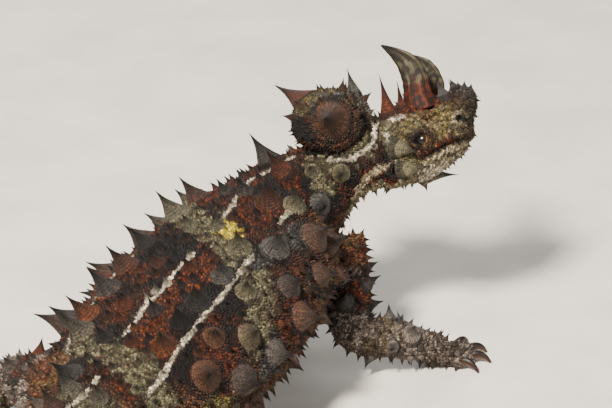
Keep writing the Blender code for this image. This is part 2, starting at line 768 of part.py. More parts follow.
def make_knob(head, thorns, axis):
    """The false head: an egg on the nape, with a great thorn on each side and small ones over it."""
    frame = turned_frame(*KNOB_TURN)
    forward, left, up = frame
    knob = ellipsoid("nape_knob", KNOB_AT, frame, KNOB_SIZE, 11, 20)
    pieces = []
    for side in (1, -1):
        a, b, c = KNOB_THORN_WAY
        way = (forward * a + left * b * side + up * c).normalized()
        spots = [component * size for component, size in zip((a, b * side, c), KNOB_SIZE)]
        root = KNOB_AT + forward * spots[0] * 0.9 + left * spots[1] * 0.9 + up * spots[2] * 0.9
        length, radius = KNOB_THORN
        thorns.clear("nape_knob", root, root + way * length, radius, [])
        pieces.append(thorn(root, way, length, radius, -forward * 0.8, 8))
    spot, lean, length, radius = KNOB_SPINE
    root = KNOB_AT + sum((axis_ * s * size for axis_, s, size in zip(frame, spot, KNOB_SIZE)), Vector())
    way = sum((axis_ * s for axis_, s in zip(frame, lean)), Vector()).normalized()
    thorns.clear("nape_knob", root, root + way * length, radius, [])
    pieces.append(thorn(root, way, length, radius))
    for k in range(KNOB_SMALL):
        a = math.radians(20 + 137.5 * k)
        high = 0.25 + 0.7 * (k + 0.5) / KNOB_SMALL
        flat = math.sqrt(1 - high**2)
        way = forward * math.cos(a) * flat + left * math.sin(a) * flat + up * high
        reach = [axis_ * (way.dot(axis_) * size * 0.98) for axis_, size in zip(frame, KNOB_SIZE)]
        root = KNOB_AT + sum(reach, Vector())
        length = 2.2 * thorns.chance.uniform(0.7, 1.2)
        if thorns.clear("nape_knob", root, root + way * length, 0.9, [axis]):
            pieces.append(thorn(root, way, length, 0.9))
    combine(knob, pieces)
    start, end = NAMES.index("shoulder"), NAMES.index("skull")
    spaces = [skinned("neck_space", axis.rings(start, end, 16, 22, GAP, (0, 0)))]
    spaces.append(skinned("head_space", head.rings(GAP, -0.5)))
    return keep_largest(combine(knob, spaces, "DIFFERENCE"))


def finish(made):
    """Moves the animal over the origin, turns millimetres into metres, and gives each node its colour."""
    looks = {}
    for name, (colour, roughness) in MATERIALS.items():
        looks[name] = bpy.data.materials.new(name)
        looks[name].use_nodes = True
        shader = looks[name].node_tree.nodes["Principled BSDF"]
        shader.inputs["Base Color"].default_value = (*colour, 1)
        shader.inputs["Roughness"].default_value = roughness
    to_metres = Matrix.Scale(METRES, 4) @ Matrix.Translation(-CENTRE)
    for name, piece in made.items():
        piece.name = name
        piece.data.name = name
        piece.data.transform(to_metres)
        piece.data.materials.clear()
        key = "eye" if name.startswith("eye") else "horn" if name.startswith("horn") else "skin"
        if name in ("head", "lower_jaw", "neck"):
            key = "pale"
        piece.data.materials.append(looks[key])
        piece.data.shade_smooth()
        piece.data.set_sharp_from_angle(angle=math.radians(40))


def main():
    for old in list(bpy.data.objects):
        bpy.data.objects.remove(old, do_unlink=True)
    axis = axis_form()
    head = Head(axis.places[NAMES.index("skull_back")])
    thorns = Thorns(random.Random(SEED))
    limbs = [(side, names, way, limb_form(names, joints)) for side, names, way, *joints in LIMBS]
    forms = [form for *_, form in limbs]

    def solid_trunk():
        spaces = []
        for name, first, last, count, sides in BODY_NODES:
            if name in ("tail_base", "torso", "neck"):
                start, end = span_of(name, first, last)
                spaces.append(skinned("space", axis.rings(start, end, count, sides, GAP * 1.5, (-0.2, -0.2))))
        return spaces

    made = make_head(head, thorns, axis)
    for side, word in ((1, "left"), (-1, "right")):
        made[f"horn_{word}"] = make_horn(head, side, word)
    made["nape_knob"] = make_knob(head, thorns, axis)
    made.update(make_body(axis, head, thorns, forms))
    for side, names, heading, form in limbs:
        made.update(make_limb(side, names, heading, form, axis, solid_trunk, thorns))
    finish(made)


main()
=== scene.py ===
# %% [markdown]
# # A thorny devil at life size
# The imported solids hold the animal's true outline. This script dresses them: one smooth skin over all
# the flesh, ringed thorns where the solids have theirs, a coat of small pointed scales, and finer horns,
# eyes and claws. It works in millimetres and turns finished points into metres at the end.

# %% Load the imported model
import math
import json

import bmesh
import bpy
import numpy as np
from mathutils import Matrix, Vector

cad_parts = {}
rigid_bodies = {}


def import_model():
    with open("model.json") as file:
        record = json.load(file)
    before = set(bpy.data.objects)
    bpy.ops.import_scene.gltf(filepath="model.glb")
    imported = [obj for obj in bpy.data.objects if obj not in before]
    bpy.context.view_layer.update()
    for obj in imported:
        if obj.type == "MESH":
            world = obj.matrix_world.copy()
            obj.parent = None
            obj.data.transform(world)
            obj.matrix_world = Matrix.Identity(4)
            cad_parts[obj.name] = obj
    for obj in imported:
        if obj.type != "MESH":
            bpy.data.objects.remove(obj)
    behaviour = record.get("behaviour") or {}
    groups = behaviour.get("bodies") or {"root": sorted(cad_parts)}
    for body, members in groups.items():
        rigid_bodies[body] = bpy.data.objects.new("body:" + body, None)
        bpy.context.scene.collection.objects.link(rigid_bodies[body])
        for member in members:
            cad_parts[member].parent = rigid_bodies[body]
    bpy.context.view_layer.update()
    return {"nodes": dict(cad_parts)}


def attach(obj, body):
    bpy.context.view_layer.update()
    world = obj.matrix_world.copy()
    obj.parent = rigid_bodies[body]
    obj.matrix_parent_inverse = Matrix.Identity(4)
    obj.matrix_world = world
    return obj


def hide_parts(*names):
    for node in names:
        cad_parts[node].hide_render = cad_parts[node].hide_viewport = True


for old in list(bpy.data.objects):
    bpy.data.objects.remove(old, do_unlink=True)
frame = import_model()
METRES = 0.001
CENTRE = np.array((-47.0, -8.85, 0.0))

# %% [markdown]
# ## The camera
# The photo was taken from behind the animal's right shoulder with a long lens, so the camera stands
# 650 mm away at an azimuth of -45 degrees and an elevation of 24. A long lens keeps the far side of the
# trunk almost as large as the near one.

# %% Place the camera
VIEW_AZIMUTH, VIEW_RISE = -45.0, 24.0
CAMERA_DISTANCE = 650.0
FOCAL_PIXELS, PHOTO_WIDTH, PHOTO_HEIGHT = 3770.0, 612, 408
SHOULDER_AT = np.array((0.0, 0.0, 25.0))
SHOULDER_PIXEL = (281, 223)
SENSOR = 36.0


def model_metres(points):
    """Points of the layout, in millimetres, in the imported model's frame and metres."""
    return (np.asarray(points, float) - CENTRE) * METRES


turn, rise = math.radians(-VIEW_AZIMUTH), math.radians(VIEW_RISE)
to_camera = np.array((-math.sin(turn) * math.cos(rise), -math.cos(turn) * math.cos(rise), math.sin(rise)))
to_right = np.array((math.cos(turn), -math.sin(turn), 0.0))
to_top = np.cross(to_camera, to_right)
per_pixel = CAMERA_DISTANCE / FOCAL_PIXELS
aim = SHOULDER_AT + to_right * (PHOTO_WIDTH / 2 - SHOULDER_PIXEL[0]) * per_pixel
aim = aim + to_top * (SHOULDER_PIXEL[1] - PHOTO_HEIGHT / 2) * per_pixel
camera = bpy.data.objects.new("camera", bpy.data.cameras.new("camera"))
bpy.context.scene.collection.objects.link(camera)
bpy.context.scene.camera = camera
camera.data.lens = FOCAL_PIXELS / PHOTO_WIDTH * SENSOR
camera.data.sensor_width = SENSOR
camera.data.clip_end = 10.0
place = model_metres(aim + to_camera * CAMERA_DISTANCE)
camera.matrix_world = Matrix.Translation(place) @ Matrix((to_right, to_top, to_camera)).transposed().to_4x4()
print("camera at", [round(v, 3) for v in place])

# %% [markdown]
# ## Soft studio light
# The photo's sun comes from the upper left, a little from behind. A small warm key light repeats it, and
# a large cool fill, a back light and a pale world keep the shadows open, as a museum's photo studio does.

# %% Set up the lights
def lamp(name, away, size, power, colour):
    """A square soft light that stands at a place in metres and faces the animal."""
    light = bpy.data.lights.new(name, "AREA")
    light.size = size
    light.energy = power
    light.color = colour
    made = bpy.data.objects.new(name, light)
    made.location = away
    made.rotation_euler = (Vector((0, 0, 0.02)) - Vector(away)).to_track_quat("-Z", "Y").to_euler()
    bpy.context.scene.collection.objects.link(made)


# Name, place and size in metres, power in watts and colour.
lamp("key_light", (-0.42, -0.16, 0.55), 0.10, 20.0, (1.0, 0.93, 0.82))
lamp("fill_light", (0.15, -0.75, 0.30), 0.60, 4.0, (0.97, 0.98, 1.0))
lamp("back_light", (0.35, 0.50, 0.45), 0.40, 3.0, (1.0, 1.0, 1.0))
world = bpy.data.worlds.new("studio")
bpy.context.scene.world = world
world.use_nodes = True
WORLD_GREY, WORLD_STRENGTH = (0.93, 0.93, 0.92, 1), 0.34
background = world.node_tree.nodes["Background"]
background.inputs["Color"].default_value = WORLD_GREY
background.inputs["Strength"].default_value = WORLD_STRENGTH

# %% [markdown]
# ## The forms under the skin
# Each form is a loft: rings round a smooth axis, each with a half width, a top and a bottom height. They
# repeat the solids' own values. The same formula answers two questions: where is the skin at a station
# and an angle round the axis, and, the other way round, at which station and angle does a point lie. The
# second one is what lets the markings follow the body.

# %% Smooth curves and lofts
UP = np.array((0.0, 0.0, 1.0))
BATCH = 8000


def unit(v):
    return v / np.maximum(np.linalg.norm(v, axis=-1, keepdims=True), 1e-9)


def dot(a, b):
    return (a * b).sum(-1, keepdims=True)


def curve(values, t):
    """A smooth curve through equally spaced rows of values, read at every t."""
    values, t = np.asarray(values, float), np.atleast_1d(t)
    last = len(values) - 1
    i = np.clip(np.floor(t).astype(int), 0, last - 1)
    u = (t - i)[:, None]
    a, b, c, d = (values[np.clip(i + k, 0, last)] for k in (-1, 0, 1, 2))
    bend = (c - a) * u + (2 * a - 5 * b + 4 * c - d) * u**2 + (3 * b - a - 3 * c + d) * u**3
    return b + 0.5 * bend


def bearing(heading, climb):
    h, c = math.radians(heading), math.radians(climb)
    return np.array((math.cos(c) * math.cos(h), math.cos(c) * math.sin(h), math.sin(c)))


def turned_frame(heading, climb, roll):
    """Forward, left and up. The roll takes the left side down."""
    forward = bearing(heading, climb)
    left = unit(np.cross(UP, forward))
    up = np.cross(forward, left)
    r = math.radians(roll)
    return forward, left * math.cos(r) - up * math.sin(r), up * math.cos(r) + left * math.sin(r)


def rounded(value, power):
    return np.sign(value) * np.abs(value) ** power


class Form:
    """A loft round a smooth axis: half widths, top and bottom heights, and how square its rings are."""

    def __init__(self, places, lefts, sizes, square=2.2):
        self.places, self.lefts, self.sizes = (np.asarray(v, float) for v in (places, lefts, sizes))
        self.power = 2 / square
        self.last = len(places) - 1

    def frame(self, t):
        t = np.atleast_1d(t).astype(float)
        forward = unit(curve(self.places, t + 0.02) - curve(self.places, t - 0.02))
        left = curve(self.lefts, t)
        left = unit(left - forward * dot(left, forward))
        return curve(self.places, t), forward, left, np.cross(forward, left)

    def point(self, t, angle):
        middle, _, left, up = self.frame(t)
        width, top, bottom = curve(self.sizes, t).T[..., None]
        a = np.radians(np.atleast_1d(angle))[:, None]
        height = np.where(np.cos(a) > 0, top, bottom)
        across = left * rounded(np.sin(a), self.power) * width
        return middle + across + up * rounded(np.cos(a), self.power) * height

    def rings(self, start, end, count, sides):
        angles = np.arange(sides) * 360 / sides
        return [self.point(np.full(sides, t), angles) for t in np.linspace(start, end, count)]

    def locate(self, points):
        """Each point's station, angle round the axis and rough height above the skin."""
        grid = np.linspace(0, self.last, self.last * 24 + 1)
        middles = curve(self.places, grid)
        nearest = np.empty(len(points), int)
        for k in range(0, len(points), BATCH):
            gaps = points[k : k + BATCH, None, :] - middles[None]
            nearest[k : k + BATCH] = (gaps**2).sum(-1).argmin(1)
        t = grid[nearest]
        middle, forward, left, up = self.frame(t)
        width, top, bottom = curve(self.sizes, t).T
        away = points - middle
        across, high = dot(away, left)[:, 0], dot(away, up)[:, 0]
        beyond = np.abs(dot(away, forward)[:, 0])
        reach = np.hypot(across / width, high / np.where(high > 0, top, bottom))
        outside = np.linalg.norm(away, axis=1) * (1 - 1 / np.maximum(reach, 0.05))
        past_end = ((t == 0) | (t == self.last)) & (beyond > 1.0)
        outside = np.where(past_end, np.maximum(beyond, outside), outside)
        return t, np.degrees(np.arctan2(across / width, high / np.where(high > 0, top, bottom))), outside


# %% [markdown]
# ## The body axis
# One line from the tail's tip to the skull carries the pose. Each station has a heading, a climb and a
# roll, so bending the animal means changing a few angles and leaving its sizes alone.

# %% The body axis, from the tail's tip to the skull
# Station, run to the next one, heading, climb, roll, half width, back height and belly depth.
AXIS = (
    ("tail_tip", 14.0, -50, -14, 0, 1.2, 1.2, 1.2),
    ("tail_end", 18.0, -32, -8, 0, 2.6, 2.5, 2.3),
    ("tail_middle", 20.0, -14, -4, 0, 4.0, 3.7, 3.4),
    ("tail_thick", 19.0, 4, 0, 1, 5.6, 5.0, 4.7),
    ("tail_root", 9.7, 14, 2, 3, 7.8, 6.8, 6.4),
    ("hips", 11.0, 16, 4, 6, 13.4, 10.2, 8.4),
    ("loin", 15.0, 16, 12, 9, 18.2, 12.8, 9.4),
    ("middle", 15.5, 15, 17, 10, 19.4, 13.6, 10.4),
    ("ribs", 13.0, 12, 21, 11, 17.6, 12.8, 10.6),
    ("shoulder", 7.2, -12, 36, 11, 13.0, 10.6, 9.6),
    ("neck_root", 6.3, -26, 36, 11, 8.8, 8.0, 7.8),
    ("neck", 5.7, -40, 26, 13, 6.9, 6.2, 6.4),
    ("nape", 5.4, -50, 12, 20, 6.4, 6.0, 6.0),
    ("skull_back", 6.5, -52, 28, 31, 6.6, 6.3, 6.3),
    ("skull", 0.0, -52, 28, 31, 7.0, 7.0, 6.0),
)
STATION = {row[0]: k for k, row in enumerate(AXIS)}


def body_form():
    places = [None] * len(AXIS)
    shoulder = STATION["shoulder"]
    places[shoulder] = SHOULDER_AT
    for i in range(shoulder + 1, len(AXIS)):
        places[i] = places[i - 1] + AXIS[i - 1][1] * bearing(*AXIS[i - 1][2:4])
    for i in range(shoulder - 1, -1, -1):
        places[i] = places[i + 1] - AXIS[i][1] * bearing(*AXIS[i][2:4])
    return Form(places, [turned_frame(*row[2:5])[1] for row in AXIS], [row[5:8] for row in AXIS])


body = body_form()
print("body axis runs from", body.places[0].round(1), "to", body.places[-1].round(1))

# %% [markdown]
# ## The head
# The head turns to the animal's right, lifts and rolls, so it gets a frame of its own. Everything on the
# face is placed in that frame, in millimetres ahead of the eyes, out to the side and up.

# %% The head in its own frame, rolled and raised
HEAD_TURN = (-52, 28, 31)
HEAD_AHEAD, HEAD_DROP = 6.5, 1.5
# Each section's place ahead of the eyes, half width, top and bottom.
HEAD_SECTIONS = (
    (-6.5, 6.6, 7.8, -4.8),
    (-4.6, 7.0, 8.2, -5.2),
    (-2.4, 7.2, 8.4, -5.1),
    (0.0, 6.9, 7.9, -4.7),
    (2.2, 6.1, 7.0, -3.9),
    (4.0, 5.2, 6.6, -2.5),
    (5.7, 4.5, 7.0, -0.8),
    (7.3, 3.9, 7.6, 1.3),
    (8.8, 3.1, 7.3, 3.3),
    (9.8, 1.7, 6.5, 4.8),
)
head_axes = np.array(turned_frame(*HEAD_TURN))
head_middle = body.places[STATION["skull_back"]] + head_axes[0] * HEAD_AHEAD - head_axes[2] * HEAD_DROP


def head_at(x, y, z):
    return head_middle + np.array((x, y, z)) @ head_axes


def head_way(x, y, z):
    return unit(np.array((x, y, z), float)) @ head_axes


def head_local(points):
    """Points in the head's frame: ahead of the eyes, to the left, and up."""
    return (points - head_middle) @ head_axes.T


head = Form(
    [head_at(x, 0, (top + bottom) / 2) for x, _, top, bottom in HEAD_SECTIONS],
    [head_axes[1]] * len(HEAD_SECTIONS),
    [(wide, (top - bottom) / 2, (top - bottom) / 2) for _, wide, top, bottom in HEAD_SECTIONS],
    2.3,
)

# %% [markdown]
# ## The knob and the limbs
# A thorny devil carries a knob like a false head on its nape, which it shows to attackers. It is an egg
# with a frame of its own. A limb is a loft through its root, elbow or knee, wrist or ankle and palm, and
# its hinge comes from the bend itself.

# %% The knob on the nape and the four limbs
KNOB_AT = np.array((9.5, -2.9, 42.0))
KNOB_TURN = (-23, 6, 7)
KNOB_SIZE = np.array((7.1, 6.3, 5.4))
knob_axes = np.array(turned_frame(*KNOB_TURN))


def egg(middle, axes, sizes, square=2.2):
    """A form that closes at both ends of its first axis."""
    shares = np.sin(np.linspace(-0.5, 0.5, 9) * math.pi)
    places = [middle + axes[0] * sizes[0] * s for s in shares]
    flat = [math.sqrt(max(1 - s * s, 0.004)) for s in shares]
    return Form(places, [axes[1]] * 9, [(sizes[1] * f, sizes[2] * f, sizes[2] * f) for f in flat], square)


knob = egg(KNOB_AT, knob_axes, KNOB_SIZE)

# Side, nodes, the digits' heading, then root, elbow or knee, wrist or ankle, and palm.
LIMBS = (
    ("right", "hand", -17, (6.0, -6.4, 21.8), (3.0, -14.6, 8.2), (13.4, -20.9, 4.3), (17.0, -22.2, 2.3)),
    ("left", "hand", 24, (5.2, 5.0, 23.0), (0.4, 16.4, 8.6), (9.6, 24.6, 4.0), (13.6, 27.2, 1.9)),
    ("right", "foot", -52, (-50.4, -14.0, 13.6), (-47.4, -30.5, 9.6), (-56.0, -38.5, 3.8),
     (-54.4, -43.6, 2.0)),
    ("left", "foot", 60, (-53.0, -6.0, 13.6), (-53.0, 10.6, 9.6), (-64.5, 17.0, 3.8), (-63.0, 22.4, 2.0)),
)
LIMB_SIZES = {
    "hand": ((5.8, 5.8), (4.6, 4.6), (3.3, 3.3), (3.5, 3.4), (2.8, 2.8), (3.5, 2.8)),
    "foot": ((6.0, 5.6), (5.2, 4.9), (4.0, 3.8), (3.8, 3.6), (2.7, 2.5), (3.7, 2.3)),
}


def limb_form(end, joints):
    root, bend, wrist, palm = (np.array(joint) for joint in joints)
    places = [root, root * 0.45 + bend * 0.55, bend, (bend + wrist) / 2, wrist, palm]
    flat = unit(np.cross(UP, palm - wrist))
    hinge = unit(np.cross(bend - root, wrist - bend))
    hinge = hinge * np.sign(hinge @ flat)
    lefts = [hinge, hinge, hinge, (hinge + flat) / 2, flat, flat]
    return Form(places, lefts, [(w, h, h) for w, h in LIMB_SIZES[end]])


limbs = [limb_form(row[1], row[3:]) for row in LIMBS]
print("limb forms:", len(limbs))

# %% [markdown]
# ## Where the thorns stand
# On the animal every thorn is a hard cone on a low mound of ringed scales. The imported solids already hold
# each one, coarse but true in place, direction and size, so the scene finds them there instead of
# guessing: a thorn's tip is a corner whose edges all run back the same way. The edges of a tip end on the
# thorn's waist, a third of the way up and half as wide as its foot, which gives the root and the radius.

# %% Find every thorn on the solids
NODES = frame["nodes"]
HARD = ("horn_left", "horn_right", "eye_left", "eye_right")
FLESH = [name for name in NODES if name not in HARD]
WAIST_SHARE, WAIST_WIDTH = 0.33, 0.5
SHARP = 0.88


def thorns_of(name):
    """Root, way, length and radius of each thorn of a node, in millimetres of the layout."""
    bm = bmesh.new()
    bm.from_mesh(NODES[name].data)
    bmesh.ops.remove_doubles(bm, verts=bm.verts, dist=2e-6)
    found = []
    for vert in bm.verts:
        ends = np.array([edge.other_vert(vert).co - vert.co for edge in vert.link_edges]) / METRES
        if len(ends) < 4:
            continue
        reach = np.linalg.norm(ends, axis=1)
        if np.linalg.norm((ends / reach[:, None]).mean(0)) < SHARP or reach.max() < 0.5:
            continue
        ends = ends[reach > 0.8 * reach.max()]
        back = ends.mean(0)
        way = -unit(back)
        length = np.linalg.norm(back) / (1 - WAIST_SHARE)
        radius = np.linalg.norm(ends - back, axis=1).mean() / WAIST_WIDTH
        tip = np.array(vert.co) / METRES + CENTRE
        found.append((tip - way * length, way, length, radius))
    bm.free()
    return found


def is_claw_or_tail_end(name, root, way, length):
    """Claws and the tail's tip are sharp too, but they are not thorns."""
    tip = root + way * length
    if name == "tail_tip":
        return np.linalg.norm(tip - body.places[0]) < 4.0
    for form, row in zip(limbs, LIMBS):
        if name == f"{row[1]}_{row[0]}":
            return np.linalg.norm((tip - form.places[-1])[:2]) > 6.0
    return False


thorns = [
    (name, *found)
    for name in FLESH
    for found in thorns_of(name)
    if not is_claw_or_tail_end(name, *found[:3])
]
thorn_roots, thorn_ways = (np.array([row[k] for row in thorns]) for k in (1, 2))
thorn_lengths, thorn_radii = (np.array([row[k] for row in thorns]) for k in (3, 4))
shortest, longest = thorn_lengths.min().round(1), thorn_lengths.max().round(1)
print(len(thorns), "thorns, from", shortest, "to", longest, "mm long")

# %% [markdown]
# ## One skin
# Flesh has no seams, so all the forms go into one mesh: closed lofts that overlap are melted together by
# the Remesh modifier in voxel mode, and smoothed. Modelling it as one mesh by hand would need the limbs'
# edges to meet the trunk's, which the voxels do by themselves.

# %% Melt the forms into one skin
VOXEL = 0.44
SMOOTHING = 5
DIGITS = ((-58, 3.8), (-28, 4.9), (-2, 5.3), (25, 5.0), (54, 3.6))
DIGIT_RADIUS = 1.25


def join_rings(bm, rows, tip=None):
    """Faces between rows of corners, and from the last row to a tip if there is one."""
    for low, high in zip(rows, rows[1:]):
        for j in range(len(low)):
            k = (j + 1) % len(low)
            bm.faces.new((low[j], low[k], high[k], high[j]))
    if tip is not None:
        for j in range(len(rows[-1])):
            bm.faces.new((rows[-1][j], rows[-1][(j + 1) % len(rows[-1])], tip))


def add_loft(bm, rings):
    """A closed loft over rings of points."""
    rows = [[bm.verts.new(point) for point in ring] for ring in rings]
    join_rings(bm, rows)
    bm.faces.new(rows[0][::-1])
    bm.faces.new(rows[-1])


def circle(middle, first, second, radius, sides):
    a = np.arange(sides)[:, None] * 2 * math.pi / sides
    return middle + (first * np.cos(a) + second * np.sin(a)) * radius


def digit_rows():
    """Each digit's root, way, left and length, for all four feet."""
    for (side, end, heading, *_), form in zip(LIMBS, limbs):
        palm = form.places[-1]
        for turned, length in DIGITS:
            way = bearing(heading + turned, 0)
            left = np.cross(UP, way)
            root = np.array((palm[0], palm[1], 1.2)) + left * math.sin(math.radians(turned)) * 0.4 - way * 0.6
            yield root, way, left, length


def link(name, bm):
    """A scene object from a bmesh, with its faces turned out."""
    bmesh.ops.recalc_face_normals(bm, faces=bm.faces)
    mesh = bpy.data.meshes.new(name)
    bm.to_mesh(mesh)
    bm.free()
    made = bpy.data.objects.new(name, mesh)
    bpy.context.scene.collection.objects.link(made)
    return made


def melted(name, bm, voxel, smoothing):
    """The forms of a bmesh, melted into one smooth closed mesh."""
    made = link(name, bm)
    remesh = made.modifiers.new("melt", "REMESH")
    remesh.mode = "VOXEL"
    remesh.voxel_size = voxel
    smooth = made.modifiers.new("smooth", "SMOOTH")
    smooth.factor = 0.5
    smooth.iterations = smoothing
    graph = bpy.context.evaluated_depsgraph_get()
    mesh = bpy.data.meshes.new_from_object(made.evaluated_get(graph))
    made.modifiers.clear()
    made.data = mesh
    return made


bm = bmesh.new()
add_loft(bm, body.rings(0, 13.5, 150, 48))
add_loft(bm, head.rings(0.02, 8.98, 34, 40))
add_loft(bm, knob.rings(0.0, 8.0, 26, 32))
for form in limbs:
    add_loft(bm, form.rings(0, 5, 40, 24))
    axes = np.array([axis[0] for axis in form.frame(5)[1:]])
    palm = egg(form.places[-1] + axes[0] * 0.8, axes, (2.4, 3.4, 1.9), 2.0)
    add_loft(bm, palm.rings(0, 8, 12, 20))
for root, way, left, length in digit_rows():
    rings = []
    for share, wide in ((0.0, 1.05), (0.4, 1.0), (0.8, 0.95), (1.0, 0.75), (1.12, 0.35)):
        middle = root + way * (length * share + 1.6) + UP * 0.15 * math.sin(math.pi * share)
        rings.append(circle(middle, left, UP, DIGIT_RADIUS * wide, 10))
    add_loft(bm, rings)
skin = melted("skin", bm, VOXEL, SMOOTHING)
print("skin:", len(skin.data.vertices), "points")

# %% [markdown]
# ## Working on points with numpy
# Blender hands a mesh's points to numpy in one call, which is far quicker than a loop in Python. Values
# noted on the points as attributes are read later by Geometry Nodes and by the materials. "step" and
# "mottle" are the two brushes of this script: a soft border, and a random field in millimetres.

# %% Read and write a mesh's points and attributes
def points_of(mesh):
    flat = np.empty(len(mesh.vertices) * 3)
    mesh.vertices.foreach_get("co", flat)
    return flat.reshape(-1, 3)


def normals_of(mesh):
    flat = np.empty(len(mesh.vertices) * 3, np.float32)
    mesh.vertex_normals.foreach_get("vector", flat)
    return flat.reshape(-1, 3).astype(float)


def set_points(mesh, points):
    mesh.vertices.foreach_set("co", np.asarray(points, np.float32).ravel())
    mesh.update()


KINDS = {1: ("FLOAT", "value"), 3: ("FLOAT_VECTOR", "vector"), 4: ("FLOAT_COLOR", "color")}


def note(mesh, name, values):
    """Stores one number, vector or colour for each point of a mesh."""
    values = np.asarray(values, np.float32).reshape(len(mesh.vertices), -1)
    kind, key = KINDS[values.shape[1]]
    mesh.attributes.new(name, kind, "POINT").data.foreach_set(key, values.ravel())


def step(value, low, high):
    """0 below low, 1 above high and a smooth rise between."""
    share = np.clip((value - low) / (high - low), 0, 1)
    return share * share * (3 - 2 * share)


def mottle(points, grain, seed):
    """A smooth random field of about the given grain in millimetres: waves in many directions."""
    chance = np.random.default_rng(seed)
    ways = unit(chance.normal(size=(20, 3))) * chance.uniform(0.6, 1.5, (20, 1)) * 2 * math.pi / grain
    return np.sin(points @ ways.T + chance.uniform(0, 6.3, 20)).sum(1) / 4.5


# %% [markdown]
# ## Which part a point belongs to
# Every point goes to the form whose surface is nearest, and takes its station and angle on that form.

# %% Tell which part of the body each point belongs to
PARTS = ("head", "knob", "body", "fore_right", "fore_left", "hind_right", "hind_left")
FORMS = (head, knob, body, *limbs)


def survey(points):
    """Each point's part, and its station and angle on that part's form."""
    found = [form.locate(points) for form in FORMS]
    outside = np.array([row[2] for row in found])
    ahead = head_local(points)[:, 0]
    outside[0] -= np.where(ahead > -5.0, 2.0, 0.0) - np.where(ahead < -6.6, 3.0, 0.0)
    outside[2] += np.where(ahead > -5.0, 2.0, 0.0)
    part = outside.argmin(0)
    t, angle = (np.choose(part, [row[k] for row in found]) for k in (0, 1))
    return part, t, angle


skin_points = points_of(skin.data)
skin_part, skin_t, skin_angle = survey(skin_points)
for k, name in enumerate(PARTS):
    print(name, int((skin_part == k).sum()), "points")

# %% [markdown]
# ## Sculpting the skin
# The melted skin is smooth, so its finer forms are pushed out of it along its normals: a low mound under
# every thorn, the folds of the neck, the groove of the mouth between two lips, the pits of the nostrils,
# lids round sockets for the eyes, and a raised collar round the foot of each horn. Moving points by
# formulas is what a sculptor's brush does, and it can be repeated exactly.

# %% Measures of the face and the mounds
INSET = 0.2
MOUND_HEIGHT, MOUND_SPREAD = 0.34, 1.25
MOUTH_CORNER, MOUTH_FRONT = np.array((-1.2, -2.8)), np.array((6.2, -1.7))
UPPER_LIP, LOWER_LIP, MOUTH_GROOVE = 0.36, 0.28, 0.62
EYE_AT, EYE_RADIUS = np.array((0.0, 5.65, 0.1)), 1.55
EYE_OVAL = np.array((1.15, 0.9))
LID, SOCKET, BROW = 1.0, 1.3, 0.45
NOSTRIL_AT = np.array((6.8, 2.9, 1.5))
NOSTRIL_RIM, NOSTRIL_PIT = 0.36, 1.3
HORN_ROOT = np.array((1.3, 3.5))
HORN_COLLAR = 0.85
LOWEST = 0.05


def hump(distance, width):
    return np.exp(-((distance / width) ** 2))


def thorn_reach(points):
    """How far each point is from the nearest thorn's root, in millimetres and in that thorn's radii."""
    nearest = np.full(len(points), 99.0)
    owner = np.zeros(len(points), int)
    for k, (root, radius) in enumerate(zip(thorn_roots, thorn_radii)):
        distance = np.linalg.norm(points - root, axis=1)
        closer = distance / radius < nearest
        nearest[closer] = distance[closer] / radius
        owner[closer] = k
    return nearest * thorn_radii[owner], nearest, thorn_radii[owner]


def mouth_side(points):
    """How far ahead along the mouth line and how far above it each point is, in the head's frame."""
    local = head_local(points)
    along = unit(MOUTH_FRONT - MOUTH_CORNER)
    away = local[:, [0, 2]] - MOUTH_CORNER
    return away @ along, away @ np.array((-along[1], along[0]))


# %% Push the skin into its finer forms
ring_distance, ring_share, ring_radius = thorn_reach(skin_points)
push = -INSET + MOUND_HEIGHT * hump(ring_share, MOUND_SPREAD) * ring_radius
local = head_local(skin_points)
sided = np.stack([local[:, 0], np.abs(local[:, 1]), local[:, 2]], 1)
on_head = (skin_part == 0) & (local[:, 0] > -6.0)
beside = on_head * (sided[:, 1] > 3.5)

mouth_along, mouth_above = mouth_side(skin_points)
mouth = on_head * step(mouth_along, -1.2, 0.2)
push += mouth * (UPPER_LIP * hump(mouth_above - 0.75, 0.5) + LOWER_LIP * hump(mouth_above + 0.75, 0.5))
push -= mouth * MOUTH_GROOVE * hump(mouth_above, 0.26)
horn_gap = np.linalg.norm((sided[:, :2] - HORN_ROOT) / np.array((1.25, 1.0)), axis=1)
push += on_head * (sided[:, 2] > 3.5) * HORN_COLLAR * hump(horn_gap - 2.5, 0.8)
nostril = np.linalg.norm((sided - NOSTRIL_AT)[:, [0, 2]], axis=1) + 9 * (sided[:, 1] < 1.2)
push += on_head * (NOSTRIL_RIM * hump(nostril - 0.95, 0.28) - NOSTRIL_PIT * hump(nostril, 0.42))
push -= on_head * 1.1 * step(local[:, 0], 6.2, 8.2) * hump(local[:, 2] - 0.2, 2.2)
eye = np.linalg.norm((sided - EYE_AT)[:, [0, 2]] / EYE_OVAL, axis=1)
push += beside * (LID * hump(eye - 1.25, 0.45) - SOCKET * hump(eye, 0.75))
brow = np.linalg.norm((sided - EYE_AT)[:, [0, 2]] - np.array((0.3, 2.7)), axis=1)
push += beside * BROW * hump(brow, 1.4)

neck = (skin_part == 2) * step(skin_t, 9.6, 10.4)
push += neck * 0.22 * np.sin(skin_t * 14 + 0.03 * np.abs(skin_angle)) * step(np.abs(skin_angle), 60, 120)
push += 0.12 * mottle(skin_points, 3.0, 5) * (skin_part == 2)
digits = (skin_part > 2) & (skin_points[:, 2] < 3.4)
push = np.where(digits, -0.12 + 0.06 * np.sin(skin_points[:, 0] * 5), push)
skin_points = skin_points + normals_of(skin.data) * push[:, None]
skin_points[:, 2] = np.maximum(skin_points[:, 2], LOWEST)
set_points(skin.data, skin_points)
print("skin pushed by", push.min().round(2), "to", push.max().round(2), "mm")

